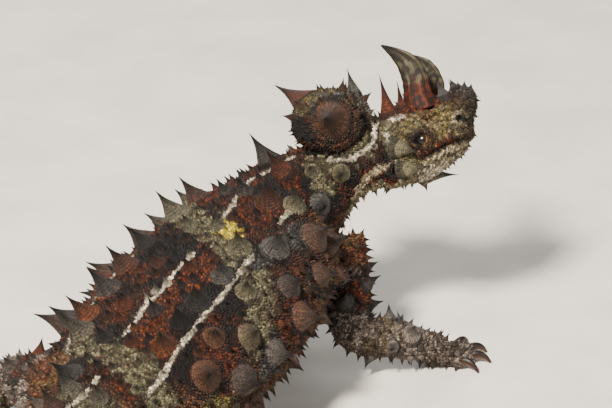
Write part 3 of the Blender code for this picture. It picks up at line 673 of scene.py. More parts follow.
# %% [markdown]
# ## The markings
# A thorny devil wears rust-red and near-black patches between khaki bands, with thin cream lines along
# its back. Skin, scales and thorns must all agree, so one function gives the colour of any point. It
# works on the body's own chart: how far along the axis a point lies, and how far round it. Strokes are
# drawn on that chart, and a mottled field makes their borders ragged.

# %% The palette and the strokes
def paint_of(red, green, blue):
    """A screen colour from 0 to 255 as the linear colour that a material takes."""
    return (np.array((red, green, blue)) / 255) ** 2.2


RUST = paint_of(82, 39, 21)
DEEP_RUST = paint_of(54, 32, 20)
ORANGE = paint_of(124, 64, 28)
SOOT = paint_of(25, 20, 19)
BROWN = paint_of(80, 53, 38)
UMBER = paint_of(50, 37, 30)
KHAKI = paint_of(94, 88, 68)
OLIVE = paint_of(90, 79, 47)
LEMON = paint_of(180, 160, 52)
SLATE = paint_of(70, 67, 64)
MAUVE = paint_of(120, 107, 98)
CREAM = paint_of(196, 184, 160)
PALE = paint_of(142, 129, 104)
# Strokes: colour, half width in millimetres, and points of station and angle from the ridge.
STROKES = (
    (RUST, 4.2, ((8.35, -24), (8.2, -20))),
    (RUST, 5.0, ((6.95, -15), (6.3, -24), (5.5, -24))),
    (RUST, 4.0, ((5.95, -51), (5.9, -62))),
    (RUST, 4.0, ((7.25, -72), (7.0, -84))),
    (RUST, 4.6, ((6.9, 30), (6.2, 40))),
    (RUST, 4.6, ((8.4, 25), (8.6, 40))),
    (SOOT, 2.2, ((9.3, -24), (8.75, -36))),
    (SOOT, 2.0, ((6.7, -30), (5.8, -34))),
    (SOOT, 2.0, ((5.0, -10), (4.7, -60))),
    (SOOT, 2.4, ((7.6, 8), (7.1, 20))),
    (KHAKI, 2.8, ((8.3, 60), (8.15, 33), (7.85, 8), (7.6, -12), (7.45, -24), (7.15, -42), (6.95, -54),
                  (6.5, -70))),
    (SLATE * 0.8, 2.2, ((6.7, -81), (6.4, -90))),
    (SLATE * 0.7, 1.8, ((8.15, -57), (7.35, -36))),
    (KHAKI, 2.4, ((5.2, 50), (5.2, 24), (5.1, 3), (4.8, -39), (4.7, -70))),
    (LEMON, 1.5, ((7.78, -13), (7.70, -19))),
    (CREAM, 0.34, ((7.95, -6), (9.0, -4), (9.75, -12), (10.35, -10))),
    (CREAM, 0.34, ((5.45, -2), (6.4, -4), (7.25, -6))),
    (CREAM, 0.34, ((3.8, 0), (4.5, 0))),
    (CREAM, 0.34, ((9.1, -60), (8.15, -39))),
    (CREAM, 0.36, ((7.45, -36), (6.7, -36), (5.95, -36), (5.35, -39), (5.0, -45), (4.65, -48))),
    (CREAM, 0.36, ((9.1, 60), (8.15, 39))),
    (CREAM, 0.36, ((7.4, 36), (6.7, 34), (5.95, 36), (5.35, 39), (4.65, 48))),
)
# Strokes that both sides of the neck carry.
PAIRED_STROKES = (
    (CREAM, 0.36, ((13.3, 18), (12.9, 34), (12.5, 42), (12.35, 78), (11.75, 84), (11.0, 60))),
    (KHAKI, 2.8, ((10.4, 80), (10.7, 62), (11.4, 60), (12.2, 62))),
    (PALE, 0.8, ((12.9, 118), (12.0, 126), (11.0, 132))),
)
strokes = list(STROKES)
for ink, half, line in PAIRED_STROKES:
    for side in (-1, 1):
        strokes.append((ink, half, [(t, angle * side) for t, angle in line]))
strokes.sort(key=lambda stroke: stroke[0] is CREAM)
print(len(strokes), "strokes, the cream lines last")

# %% Charts, lines and layers of ink
runs = np.array([row[1] for row in AXIS])
arc = np.concatenate([[0], np.cumsum(runs[:-1])])


def chart(t, angle):
    """Millimetres along the body axis, and round it from the ridge."""
    t = np.atleast_1d(t)
    width, top, _ = curve(body.sizes, t).T
    return np.stack([np.interp(t, np.arange(len(arc)), arc), np.radians(angle) * (width + top) / 2], 1)


def from_line(places, line):
    """The distance from each place to a line of places."""
    best = np.full(len(places), 99.0)
    for a, b in zip(line, line[1:]):
        along = b - a
        share = np.clip((places - a) @ along / (along @ along), 0, 1)
        best = np.minimum(best, np.linalg.norm(places - a - share[:, None] * along, axis=1))
    return best


def mixed(under, over, weight):
    """One colour over another, by a weight from 0 to 1."""
    return under + (over - under) * np.asarray(weight)[..., None]


def layered(colour, layers):
    """Lays one ink after another over a colour, each by its own weight."""
    for ink, weight in layers:
        colour = mixed(colour, ink, weight)
    return colour


def speckled(points, ink):
    """An ink broken by near-black grains and orange flecks, as the rust-red skin is."""
    fine, finer = mottle(points, 1.1, 27), mottle(points, 0.5, 28)
    return layered(ink, (
        (SOOT, 0.9 * step(fine + 0.6 * finer, -0.4, 0.05)),
        (ORANGE, 0.6 * step(finer - 0.6 * fine, 0.6, 1.0)),
    ))


# %% [markdown]
# ## Paint for each part
# Each part has its own paint: a list of inks laid over each other, every one with a weight that says
# where it shows. Reading a list from top to bottom is like watching the layers dry. The numbers in a
# step or a hump are places, in millimetres of the part's own frame, that were read off the photo.

# %% The trunk, the neck and the tail
def flank_paint(points, broad, fine):
    """Khaki and brown skin, low on the sides, with finer umber patches painted as the shade of folds."""
    return layered(OLIVE, (
        (BROWN * 1.15, step(mottle(points, 6.0, 24), -0.5, 0.0)),
        (UMBER, step(mottle(points, 8.0, 25), 0.5, 0.8)),
        (speckled(points, RUST), step(mottle(points, 7.0, 26), 0.3, 0.6)),
        # Painted shade: the finer umber patches stand for the shade of folds.
        (UMBER, 0.8 * step(fine - 0.3 * broad, 0.1, 0.6)),
    ))


def stroke_layers(points, places, ink, half, line, broad, fine):
    """A stroke's dark border and the stroke itself."""
    gap = from_line(places, chart([row[0] for row in line], [row[1] for row in line]))
    ragged = gap + 0.34 * min(half, 2.0) * (broad + fine)
    border, laid = 0.0, ink
    if ink is CREAM:
        ragged = gap + 0.10 * fine
        border = 0.8 * hump(ragged - half - 0.35, 0.3)
    elif ink is RUST or ink is KHAKI:
        border = 0.75 * hump(ragged - half * 1.12, 0.7)
        # Painted shade: the same finer patches darken the khaki strokes as the shade of folds.
        dark = 0.7 * step(fine - 0.5 * broad, 0.1, 0.7)
        laid = speckled(points, ink) if ink is RUST else mixed(ink, UMBER, dark)
    return (SOOT, border), (laid, step(-ragged, -half * 1.1, -half * 0.8))


def trunk_paint(points, t, angle):
    """The colours of the tail, the trunk and the neck."""
    broad, fine = mottle(points, 9.0, 21), mottle(points, 2.2, 22)
    places = chart(t, angle)
    tail_bands = step(np.sin(places[:, 0] * 0.29 + 0.4 * broad), 0.35, 0.7) * (1 - step(t, 3.9, 4.4))
    colour = layered(DEEP_RUST, (
        (SOOT, step(broad + 0.4 * fine, 0.0, 0.35)),
        (speckled(points, RUST), step(mottle(points, 6.0, 23) + 0.3 * fine, 0.15, 0.6) * 0.8),
        (flank_paint(points, broad, fine), step(np.abs(angle), 58, 82) * (1 - step(t, 9.2, 9.8))),
        (KHAKI, tail_bands * 0.9),
    ))
    for ink, half, line in strokes:
        colour = layered(colour, stroke_layers(points, places, ink, half, line, broad, fine))
    belly = mixed(PALE, RUST, step(broad, 0.3, 0.6))
    return mixed(colour, belly, step(np.abs(angle), 135, 155))


# %% The head
def mouth_layers(points, x, fine):
    """Barred lips over a cream, beaded jaw, with a near-black line of painted shade in the groove between
    them.
    """
    along, above = mouth_side(points)
    bars = step(np.sin(along * 3.4 + fine), -0.15, 0.35)
    lip = mixed(mixed(BROWN, ORANGE, 0.4), SOOT, bars * 0.9)
    on_lip = step(along, -1.0, 0.0) * step(above, 0.0, 0.2) * (1 - step(above + 0.25 * fine, 1.1, 1.5))
    jaw = layered(PALE, (
        (UMBER, step(mottle(points, 1.8, 33), 0.0, 0.4) * 0.85),
        (CREAM, hump(above + 1.9 + 0.2 * fine, 0.4)),
    ))
    return (
        (lip, on_lip * (1 - step(along, 6.0, 7.2))),
        (jaw, step(-above, 0.1, 0.3) * step(x, -5.5, -4.6)),
        # Painted shade: a near-black line along the mouth's groove.
        (SOOT, hump(above, 0.36) * step(along, -1.0, 0.2)),
    )


def eye_and_nose_layers(x, y, z):
    """Dark lids with a golden lower rim, and a pale nostril rim round a pit painted black as its shade."""
    gap = np.hypot((x - EYE_AT[0]) / EYE_OVAL[0], (z - EYE_AT[2]) / EYE_OVAL[1])
    golden = mixed(ORANGE, LEMON, 0.35) * 0.8
    nose = np.hypot(x - NOSTRIL_AT[0], z - NOSTRIL_AT[2]) + 9 * (y < 1.2)
    return (
        (UMBER, step(-gap, -2.6, -1.9) * (y > 3.5) * 0.9),
        (SOOT, step(-gap, -1.5, -1.0) * (y > 3.5)),
        (golden, hump(gap - 1.4, 0.14) * step(-(z - EYE_AT[2]), 0.3, 0.9) * (y > 3.5) * 0.45),
        (PALE, hump(nose - 0.95, 0.25) * 0.9),
        # Painted shade: the nostril's pit is near-black.
        (SOOT * 0.5, step(-nose, -0.8, -0.55)),
    )


def head_paint(points):
    """Khaki sides, a dark snout top, rust-red horn bases, and cream lines at the crest and the nape."""
    local = head_local(points)
    x, y, z = local[:, 0], np.abs(local[:, 1]), local[:, 2]
    fine, broad = mottle(points, 1.1, 31), mottle(points, 3.0, 32)
    horn_gap = np.hypot((x - HORN_ROOT[0]) / 1.25, y - HORN_ROOT[1]) + 0.25 * fine
    crest = np.abs(z - 4.9 + 0.12 * x + 0.15 * fine) + 2.0 * step(x, -1.5, 0.0)
    return layered(OLIVE, (
        (KHAKI, step(broad + fine, -0.3, 0.6)),
        (PALE, step(fine - 0.4 * broad, 0.5, 1.0) * 0.6),
        (UMBER, step(z + 0.6 * fine, 4.2, 5.4) * step(x, -0.5, 2.5)),
        (DEEP_RUST, step(z + 0.8 * broad, 4.6, 5.8) * (1 - step(x, 0.5, 2.0))),
        (UMBER, step(x + 0.5 * fine, 5.0, 7.2) * 0.85),
        (SLATE, step(x + z - 0.9 * fine, 13.0, 14.5) * 0.6),
        (BROWN, hump(np.hypot(x - 2.0, z - 3.6) - 0.4, 0.9) * 0.7),
        (speckled(points, RUST), step(-horn_gap, -3.9, -3.2) * step(z, 4.2, 5.2)),
        *mouth_layers(points, x, fine),
        *eye_and_nose_layers(x, y, z),
        (KHAKI * 0.8, step(-x + 0.4 * broad, 3.6, 4.4) * step(3.5 - np.abs(z - 1.5), 0, 1)),
        (CREAM, hump(crest, 0.3) * step(x, -5.6, -4.9)),
        (CREAM, hump(x + 5.5 + 0.15 * fine, 0.34) * step(4.9 - np.abs(z - 0.4), 0, 0.6)),
    ))


# %% The knob and the limbs
def knob_paint(points):
    """Grey-khaki granules over the top, dark rust below, and a dark ring round each great thorn."""
    x, _, z = ((points - KNOB_AT) @ knob_axes.T).T
    fine = mottle(points, 1.6, 41)
    great = (thorn_lengths > 7) & (np.linalg.norm(thorn_roots - KNOB_AT, axis=1) < 9)
    middles = thorn_roots[great] + knob_axes[0] * 0.8 - knob_axes[2] * 0.9
    gap = np.min([np.linalg.norm(points - middle, axis=1) for middle in middles], axis=0) + 0.2 * fine
    return layered(DEEP_RUST, (
        (SOOT, step(mottle(points, 4.0, 42), -0.1, 0.3)),
        (mixed(OLIVE * 0.8, SLATE, step(mottle(points, 2.6, 43), -0.2, 0.4)), step(z + 0.9 * fine, 2.4, 3.4)),
        (CREAM, hump(x - 6.0 + 0.3 * fine, 0.45) * 0.8),
        (SLATE, step(x + z + fine, 6.5, 8.0) * 0.8),
        (mixed(BROWN * 1.1, UMBER, step(mottle(points, 2.0, 44), -0.2, 0.3)), step(-gap, -4.7, -4.3)),
        (SOOT, 0.9 * hump(gap - 4.9, 0.4)),
    ))


def limb_paint(points, t, angle, hind):
    """Grey-mauve granules, with a red patch near the root and dark bars further out."""
    fine, broad = mottle(points, 1.1, 51), mottle(points, 4.5, 52)
    upper = mixed(BROWN * 1.15, speckled(points, RUST), step(broad + fine, 0.3, 0.9))
    patch = np.abs(t - 1.12 + 0.1 * broad) + 0.0022 * np.abs(np.abs(angle) - 60 * (1 - hind))
    return layered(MAUVE, (
        (SLATE, step(broad, -0.1, 0.6) * 0.6),
        (UMBER, step(fine + 0.4 * broad, 0.1, 0.6) * 0.75),
        (upper, step(0.85 - t + 0.12 * broad, 0.0, 0.15)),
        (SOOT, 0.9 * hump(patch - 0.34, 0.09)),
        (speckled(points, RUST), step(-patch, -0.34, -0.26)),
        (UMBER, step(np.sin(t * 3.1 + 0.5 * broad), 0.45, 0.75) * step(t, 1.9, 2.2) * 0.6),
        (OLIVE, step(np.sin(t * 2.3 + 1.5 + 0.7 * broad), 0.75, 0.95) * 0.35),
    ))


def markings(points, part, t, angle):
    """The animal's colour at each point."""
    colour = trunk_paint(points, t, angle)
    for k, made in ((0, head_paint(points)), (1, knob_paint(points))):
        colour[part == k] = made[part == k]
    for k in range(3, 7):
        here = part == k
        colour[here] = limb_paint(points[here], t[here], angle[here], float(k > 4))
    return np.clip(colour, 0.004, 0.9)


skin_colour = markings(skin_points, skin_part, skin_t, skin_angle)
print("mean skin colour:", skin_colour.mean(0).round(3))

# %% [markdown]
# ## What the skin tells the coat
# The trees that set scales on the skin read what they need from it as attributes: the marking's colour,
# the way the scales lie, the distance to the nearest thorn, and a chart of the skin as a flat map, on
# which every scale later finds its own spot for baking.

# %% Note colour, lie and chart on the skin
CHART_TILES = 3


def lie_of(points, part, t):
    """The way that the scales' tips point: to the tail on the body, to the digits on the limbs."""
    way = -body.frame(np.clip(t, 0, body.last))[1]
    way[part == 0] = -head_axes[0]
    way[part == 1] = -knob_axes[0]
    for k in range(3, 7):
        here = part == k
        way[here] = limbs[k - 3].frame(t[here])[1]
    return way


def unwrapped(part, t, angle):
    """A flat chart of the skin: one tile for each part, along it and round it."""
    last = np.array([form.last for form in FORMS])[part]
    u = (part % CHART_TILES + 0.04 + 0.92 * (angle + 180) / 360) / CHART_TILES
    v = (part // CHART_TILES + 0.04 + 0.92 * t / last) / CHART_TILES
    return np.stack([u, v, np.zeros(len(u))], 1)


def opaque(colours):
    """Colours with the alpha of 1 that a colour attribute needs."""
    return np.hstack([colours, np.ones((len(colours), 1))])


ring_distance, ring_share, ring_radius = thorn_reach(skin_points)
# Painted shade: a near-black ring on the skin round the foot of each larger thorn.
skin_colour = mixed(skin_colour, SOOT, 0.75 * hump(ring_share - 1.15, 0.14) * step(ring_radius, 1.2, 2.0))
skin_chart = unwrapped(skin_part, skin_t, skin_angle)
notes = {
    "tint": opaque(skin_colour), "lie": lie_of(skin_points, skin_part, skin_t), "ring": ring_distance,
    "ring_share": ring_share, "unwrap": skin_chart,
}
for name, values in notes.items():
    note(skin.data, name, values)
print("noted on the skin:", list(notes))

# %% Note the regions of the coat and the baking chart
REGIONS = ("head", "knob", "neck", "chest", "middle", "hips", "tail", "forelegs", "hind_legs")
BARE = 99
TRUNK_STARTS = (9.4, 7.3, 5.8, 4.0)
trunk = skin_part == 2
tests = [skin_part == 0, skin_part == 1]
tests += [trunk & (skin_t > start) for start in TRUNK_STARTS]
region = np.select([*tests, trunk, skin_part < 5], range(8), 8)
# No scales in the line of the mouth, in the nostrils or in the eyes.
in_mouth = (np.abs(mouth_above) < 0.36) & (mouth_along > -1.0)
region[(skin_part == 0) & (in_mouth | (nostril < 0.55) | (beside & (eye < 1.05)))] = BARE
first = np.empty(len(skin.data.polygons), np.int32)
skin.data.polygons.foreach_get("loop_start", first)
corner = np.empty(len(skin.data.loops), np.int32)
skin.data.loops.foreach_get("vertex_index", corner)
face_region = skin.data.attributes.new("region", "INT", "FACE")
face_region.data.foreach_set("value", region[corner[first]].astype(np.int32))
chart_layer = skin.data.uv_layers.new(name="OFBake")
chart_layer.uv.foreach_set("vector", skin_chart[corner, :2].astype(np.float32).ravel())
set_points(skin.data, model_metres(skin_points))
skin.data.shade_smooth()
print("points in each region:", dict(zip(REGIONS, np.bincount(region[region < BARE]).tolist())))

# %% [markdown]
# ## Effects that the finishes share
# Two effects turn up in several materials, so each is a node group. "mottled" breaks a colour into
# lighter and darker grains, as dry scales are. "grooves" turns a distance into fine parallel ridges, as
# run round each thorn, and the materials darken their colour in its grooves as painted shade. Groups
# hold only colours and heights; every shader stays in its own material.
# The small functions in this cell add one node each, so a tree reads like a list of sums.

# %% Functions that add nodes
FLOAT, COLOUR, VECTOR = "NodeSocketFloat", "NodeSocketColor", "NodeSocketVector"


def new_group(name, kind, inputs, outputs):
    """A node group with named sockets, and its two end nodes."""
    group = bpy.data.node_groups.new(name, kind)
    for way, sockets in (("INPUT", inputs), ("OUTPUT", outputs)):
        for label, socket_kind, *value in sockets:
            socket = group.interface.new_socket(label, in_out=way, socket_type=socket_kind)
            if value:
                socket.default_value = value[0]
    return group, group.nodes.new("NodeGroupInput"), group.nodes.new("NodeGroupOutput")


def wire(tree, kind, inputs=(), **settings):
    """A node with its settings. Each input takes a constant value or another node's socket."""
    made = tree.nodes.new(kind)
    for key, value in settings.items():
        setattr(made, key, value)
    for key, value in dict(inputs).items():
        if isinstance(value, bpy.types.NodeSocket):
            tree.links.new(value, made.inputs[key])
        else:
            made.inputs[key].default_value = value
    return made


def maths(tree, operation, *values):
    """One operation on sockets or numbers."""
    return wire(tree, "ShaderNodeMath", dict(enumerate(values)), operation=operation).outputs["Value"]


def vector_maths(tree, operation, *values):
    """One operation on colours or vectors."""
    made = wire(tree, "ShaderNodeVectorMath", dict(enumerate(values)), operation=operation)
    return made.outputs["Vector"]


def times(tree, vector, amount):
    """A colour or a vector times one number."""
    made = wire(tree, "ShaderNodeVectorMath", {0: vector, "Scale": amount}, operation="SCALE")
    return made.outputs["Vector"]


def ranged(tree, value, **ends):
    """A value carried from one range to another. Ends that aren't given are 0 and 1."""
    inputs = {key.replace("_", " ").title(): end for key, end in ends.items()}
    return wire(tree, "ShaderNodeMapRange", {"Value": value, **inputs}).outputs["Result"]


def blend(tree, factor, first, second):
    """Two colours mixed by a factor from 0 to 1."""
    return wire(tree, "ShaderNodeMix", {"Factor": factor, 6: first, 7: second}, data_type="RGBA").outputs[2]


def noise_of(tree, place, scale, detail):
    inputs = {"Vector": place, "Scale": scale, "Detail": detail}
    return wire(tree, "ShaderNodeTexNoise", inputs).outputs["Fac"]


# %% The two shared groups
mottled, start, end = new_group(
    "mottled", "ShaderNodeTree",
    [("Colour", COLOUR), ("Place", VECTOR), ("Scale", FLOAT, 900.0), ("Strength", FLOAT, 0.5)],
    [("Colour", COLOUR), ("Height", FLOAT)],
)
asked = start.outputs
grains = noise_of(mottled, asked["Place"], asked["Scale"], 5.0)
spread = ranged(mottled, grains, from_min=0.36, from_max=0.64, to_min=0.2, to_max=1.8)
tinted = times(mottled, asked["Colour"], spread)
mottled.links.new(blend(mottled, asked["Strength"], asked["Colour"], tinted), end.inputs["Colour"])
mottled.links.new(grains, end.inputs["Height"])

grooves, start, end = new_group(
    "grooves", "ShaderNodeTree",
    [("Distance", FLOAT), ("Place", VECTOR), ("Period", FLOAT, 0.9), ("Wander", FLOAT, 0.6)],
    [("Height", FLOAT)],
)
asked = start.outputs
sway = maths(grooves, "MULTIPLY", noise_of(grooves, asked["Place"], 350.0, 2.0), asked["Wander"])
turns = maths(grooves, "DIVIDE", maths(grooves, "ADD", asked["Distance"], sway), asked["Period"])
wave = maths(grooves, "SINE", maths(grooves, "MULTIPLY", turns, 2 * math.pi))
grooves.links.new(ranged(grooves, wave, from_min=-1.0), end.inputs["Height"])
print("shader groups:", [group.name for group in bpy.data.node_groups])

# %% Functions that the materials share
def new_material(name, roughness, **constants):
    """A material whose Principled BSDF has its constant values on its own sockets."""
    made = bpy.data.materials.new(name)
    made.use_nodes = True
    shader = made.node_tree.nodes["Principled BSDF"]
    shader.inputs["Roughness"].default_value = roughness
    for key, value in constants.items():
        shader.inputs[key.replace("_", " ")].default_value = value
    return made, made.node_tree, shader


def attribute(tree, name, output="Color"):
    return wire(tree, "ShaderNodeAttribute", attribute_name=name).outputs[output]


def object_place(tree):
    return wire(tree, "ShaderNodeTexCoord").outputs["Object"]


def grouped(tree, group, **inputs):
    """The outputs of a shared group with these inputs."""
    return wire(tree, "ShaderNodeGroup", inputs, node_tree=group).outputs


def bump(tree, shader, height, strength, distance, onto=None):
    """A Bump node over a height, added over another normal if there is one."""
    made = wire(tree, "ShaderNodeBump", {"Height": height, "Strength": strength, "Distance": distance})
    if onto:
        tree.links.new(onto, made.inputs["Normal"])
    tree.links.new(made.outputs["Normal"], shader.inputs["Normal"])
    return made.outputs["Normal"]


def darkened(tree, colour, amount, low):
    """A colour times a value that runs from low to 1."""
    return times(tree, colour, ranged(tree, amount, to_min=low))


# %% [markdown]
# ## The skin between the scales
# Between its scales the skin is dry, dark and finely cracked. A Voronoi texture gives the small cells,
# and their borders darken the colour and sink in the bump. Round each thorn the grooves take over, and
# the colour is darkened in them as painted shade.

# %% The skin's finish
CELL_SCALE = 1500.0
skin_finish, tree, shader = new_material("dry_skin", 0.82, Specular_IOR_Level=0.15)
place = object_place(tree)
broken = grouped(tree, mottled, Colour=attribute(tree, "tint"), Place=place, Scale=CELL_SCALE)
cells = wire(tree, "ShaderNodeTexVoronoi", {"Vector": place, "Scale": CELL_SCALE}, feature="DISTANCE_TO_EDGE")
edge = ranged(tree, cells.outputs["Distance"], from_max=0.22)
ringed = grouped(tree, grooves, Distance=attribute(tree, "ring", "Fac"), Place=place)
lined = darkened(tree, broken["Colour"], edge, 0.3)
# Painted shade: the colour darkens in the ring grooves round each thorn.
tree.links.new(darkened(tree, lined, ringed["Height"], 0.55), shader.inputs["Base Color"])
normal = bump(tree, shader, ringed["Height"], 0.7, 0.0003)
bump(tree, shader, edge, 0.6, 0.00012, normal)
skin.data.materials.clear()
skin.data.materials.append(skin_finish)
print("skin finish:", skin_finish.name)

# %% [markdown]
# ## A tree that sets shapes on points
# A thorn stands on a point, faces along the point's way, and takes the point's size and colour. Geometry
# Nodes does that for all of them at once with Instance on Points. The instances are realised at the end,
# because only real mesh reaches the exported model. Scales and spikes end in the same steps, so these
# steps are one function for both trees.

# %% Steps that both trees share
GEOMETRY, OBJECT, MATERIAL = "NodeSocketGeometry", "NodeSocketObject", "NodeSocketMaterial"
INTEGER = "NodeSocketInt"
PATCH_ON_CHART = 0.003


def read_named(tree, name, kind="FLOAT_VECTOR"):
    return wire(tree, "GeometryNodeInputNamedAttribute", {"Name": name}, data_type=kind).outputs["Attribute"]


def store_named(tree, geometry, name, value, kind, domain):
    inputs = {"Geometry": geometry, "Name": name, "Value": value}
    made = wire(tree, "GeometryNodeStoreNamedAttribute", inputs, data_type=kind, domain=domain)
    return made.outputs["Geometry"]


def random_value(tree, low, high, seed):
    inputs = {2: low, 3: high, "Seed": seed}
    return wire(tree, "FunctionNodeRandomValue", inputs, data_type="FLOAT").outputs[1]


def facing(tree, way, lie):
    """A rotation whose Z faces one way and whose X leans to another."""
    kind = "FunctionNodeAlignRotationToVector"
    upright = wire(tree, kind, {"Vector": way}, axis="Z").outputs["Rotation"]
    turned = wire(tree, kind, {"Rotation": upright, "Vector": lie}, axis="X", pivot_axis="Z")
    return turned.outputs["Rotation"]


def planted(tree, start, end, points, rotation, scale):
    """Instances of the shape on the points, each with its own grain, made real, charted and painted."""
    asked = start.outputs
    shape = wire(tree, "GeometryNodeObjectInfo", {"Object": asked["Shape"]}).outputs["Geometry"]
    inputs = {"Points": points, "Instance": shape, "Rotation": rotation, "Scale": scale}
    stand = wire(tree, "GeometryNodeInstanceOnPoints", inputs).outputs["Instances"]
    grain = random_value(tree, 0.0, 1.0, asked["Seed"])
    grained = store_named(tree, stand, "grain", grain, "FLOAT", "INSTANCE")
    real = wire(tree, "GeometryNodeRealizeInstances", {"Geometry": grained}).outputs["Geometry"]
    patch = times(tree, read_named(tree, "patch"), PATCH_ON_CHART)
    spot = vector_maths(tree, "ADD", read_named(tree, "unwrap"), patch)
    charted = store_named(tree, real, "OFBake", spot, "FLOAT2", "CORNER")
    painted = wire(tree, "GeometryNodeSetMaterial", {"Geometry": charted, "Material": asked["Material"]})
    tree.links.new(painted.outputs["Geometry"], end.inputs["Geometry"])


# %% The tree that sets a shape on every point
set_on_points, start, end = new_group(
    "set_on_points", "GeometryNodeTree",
    [("Geometry", GEOMETRY), ("Shape", OBJECT), ("Material", MATERIAL), ("Size", FLOAT, 1.0),
     ("Seed", INTEGER, 1)],
    [("Geometry", GEOMETRY)],
)
points = wire(set_on_points, "GeometryNodeMeshToPoints", {"Mesh": start.outputs["Geometry"]})
sized = times(set_on_points, read_named(set_on_points, "size"), start.outputs["Size"])
turn_to = facing(set_on_points, read_named(set_on_points, "way"), read_named(set_on_points, "lie"))
planted(set_on_points, start, end, points.outputs["Points"], turn_to, sized)
print("tree:", set_on_points.name, "with", len(set_on_points.nodes), "nodes")

# %% [markdown]
# ## A tree that covers the skin
# A real coat of scales is never in rows for long: the scales fill the surface at about equal distances.
# Distribute Points on Faces in Poisson mode gives exactly that, and each point picks up the skin's colour
# and lie. One tree serves every region, with its own spacing and size, so the face gets the finest ones.

# %% The tree that covers a region with scales
MOST_POINTS = 3.0e7
cover, start, end = new_group(
    "cover_region", "GeometryNodeTree",
    [("Geometry", GEOMETRY), ("Shape", OBJECT), ("Material", MATERIAL), ("Region", INTEGER),
     ("Spacing", FLOAT, 0.0005), ("Size", FLOAT, 0.0006), ("Height", FLOAT, 1.0), ("Clear", FLOAT, 0.0),
     ("Seed", INTEGER, 1)],
    [("Geometry", GEOMETRY)],
)
asked = start.outputs
here = wire(cover, "FunctionNodeCompare", {2: read_named(cover, "region", "INT"), 3: asked["Region"]},
            data_type="INT", operation="EQUAL")
off_thorns = wire(cover, "FunctionNodeCompare",
                  {0: read_named(cover, "ring_share", "FLOAT"), 1: asked["Clear"]},
                  data_type="FLOAT", operation="GREATER_EQUAL")
both = wire(cover, "FunctionNodeBooleanMath", {0: here.outputs["Result"], 1: off_thorns.outputs["Result"]},
            operation="AND")
scatter = wire(cover, "GeometryNodeDistributePointsOnFaces",
               {"Mesh": asked["Geometry"], "Selection": both.outputs["Boolean"], "Seed": asked["Seed"],
                "Distance Min": asked["Spacing"], "Density Max": MOST_POINTS},
               distribute_method="POISSON").outputs
lean = facing(cover, scatter["Normal"], read_named(cover, "lie"))
wide = maths(cover, "MULTIPLY", asked["Size"], random_value(cover, 0.75, 1.3, asked["Seed"]))
tall = maths(cover, "MULTIPLY", wide, asked["Height"])
scale = wire(cover, "ShaderNodeCombineXYZ", {"X": wide, "Y": wide, "Z": tall})
planted(cover, start, end, scatter["Points"], lean, scale.outputs["Vector"])
print("tree:", cover.name, "with", len(cover.nodes), "nodes")

# %% [markdown]
# ## The shapes that the trees set
# A thorn is a concave spike over a foot that sinks into its mound, a small spike is a plain cone, and a
# scale is a low cone that leans back. Each is made once, one unit wide and one high, and is only sized
# and turned when it is set. Corners carry how far up they are, for the finishes to read.

# %% The unit shapes: a thorn, a spike and a scale
def unit_shape(name, rows, sides, tip, lean, flutes=0):
    """A shape over the unit foot from rows of radius, height and share of its length, ending at a tip."""
    bm = bmesh.new()
    share = bm.verts.layers.float.new("along")
    patch = bm.verts.layers.float_vector.new("patch")
    local = bm.verts.layers.float_vector.new("local")
    widest = max(row[0] for row in rows)
    loops = []
    for radius, height, along in rows:
        ring = []
        for j in range(sides):
            a = 2 * math.pi * j / sides
            wide = radius * (1 + 0.05 * math.cos(flutes * a) * step(height, 0.05, 0.3))
            bent = lean * max(height, 0.0) ** 2
            vert = bm.verts.new((wide * math.cos(a) + bent, wide * math.sin(a), height))
            vert[share] = along
            vert[patch] = (0.45 * radius / widest * math.cos(a), 0.45 * radius / widest * math.sin(a), 0)
            vert[local] = (math.cos(a), math.sin(a), along)
            ring.append(vert)
        loops.append(ring)
    apex = bm.verts.new((lean * tip**2, 0, tip))
    apex[share] = 1.0
    apex[local] = (0, 0, 1.0)
    join_rings(bm, loops, apex)
    made = link(name, bm)
    made.data.shade_smooth()
    return made


THORN_FOOT = [(1.16, -0.24, -0.3), (1.08, -0.10, -0.15), (0.99, 0.0, -0.03)]
THORN_HEIGHTS = (0.05, 0.10, 0.16, 0.23, 0.31, 0.41, 0.53, 0.66, 0.80, 0.91)
thorn_rows = THORN_FOOT + [(0.97 * (1 - z) ** 1.8 + 0.028, z, z) for z in THORN_HEIGHTS]
SPIKE_ROWS = ((1.2, -0.15, -0.3), (0.85, 0.08, 0.1), (0.5, 0.4, 0.4), (0.22, 0.85, 0.7))
SCALE_ROWS = ((0.66, -0.15, 0.0), (0.46, 0.12, 0.4), (0.17, 0.36, 0.8))
thorn_shape = unit_shape("thorn_shape", thorn_rows, 20, tip=1.0, lean=0.12, flutes=9)
spike_shape = unit_shape("spike_shape", SPIKE_ROWS, 7, tip=1.45, lean=0.2)
scale_shape = unit_shape("scale_shape", SCALE_ROWS, 5, tip=0.62, lean=0.55)
print("faces of a thorn, a spike and a scale:",
      [len(made.data.polygons) for made in (thorn_shape, spike_shape, scale_shape)])

# %% Run a tree and keep its mesh
def grown(name, carrier, tree, **inputs):
    """Runs a tree on a carrier mesh and keeps what it makes as a plain mesh."""
    made = bpy.data.objects.new(name, carrier)
    bpy.context.scene.collection.objects.link(made)
    modifier = made.modifiers.new("grow", "NODES")
    modifier.node_group = tree
    for socket in tree.interface.items_tree:
        if socket.in_out == "INPUT" and socket.name in inputs:
            modifier[socket.identifier] = inputs[socket.name]
    graph = bpy.context.evaluated_depsgraph_get()
    mesh = bpy.data.meshes.new_from_object(made.evaluated_get(graph))
    made.modifiers.clear()
    made.data = mesh
    mesh.name = name
    points = points_of(mesh)
    points[:, 2] = np.maximum(points[:, 2], 0.0)
    set_points(mesh, points)
    mesh.shade_smooth()
    print(name, sum(len(face.vertices) - 2 for face in mesh.polygons), "triangles")
    return made
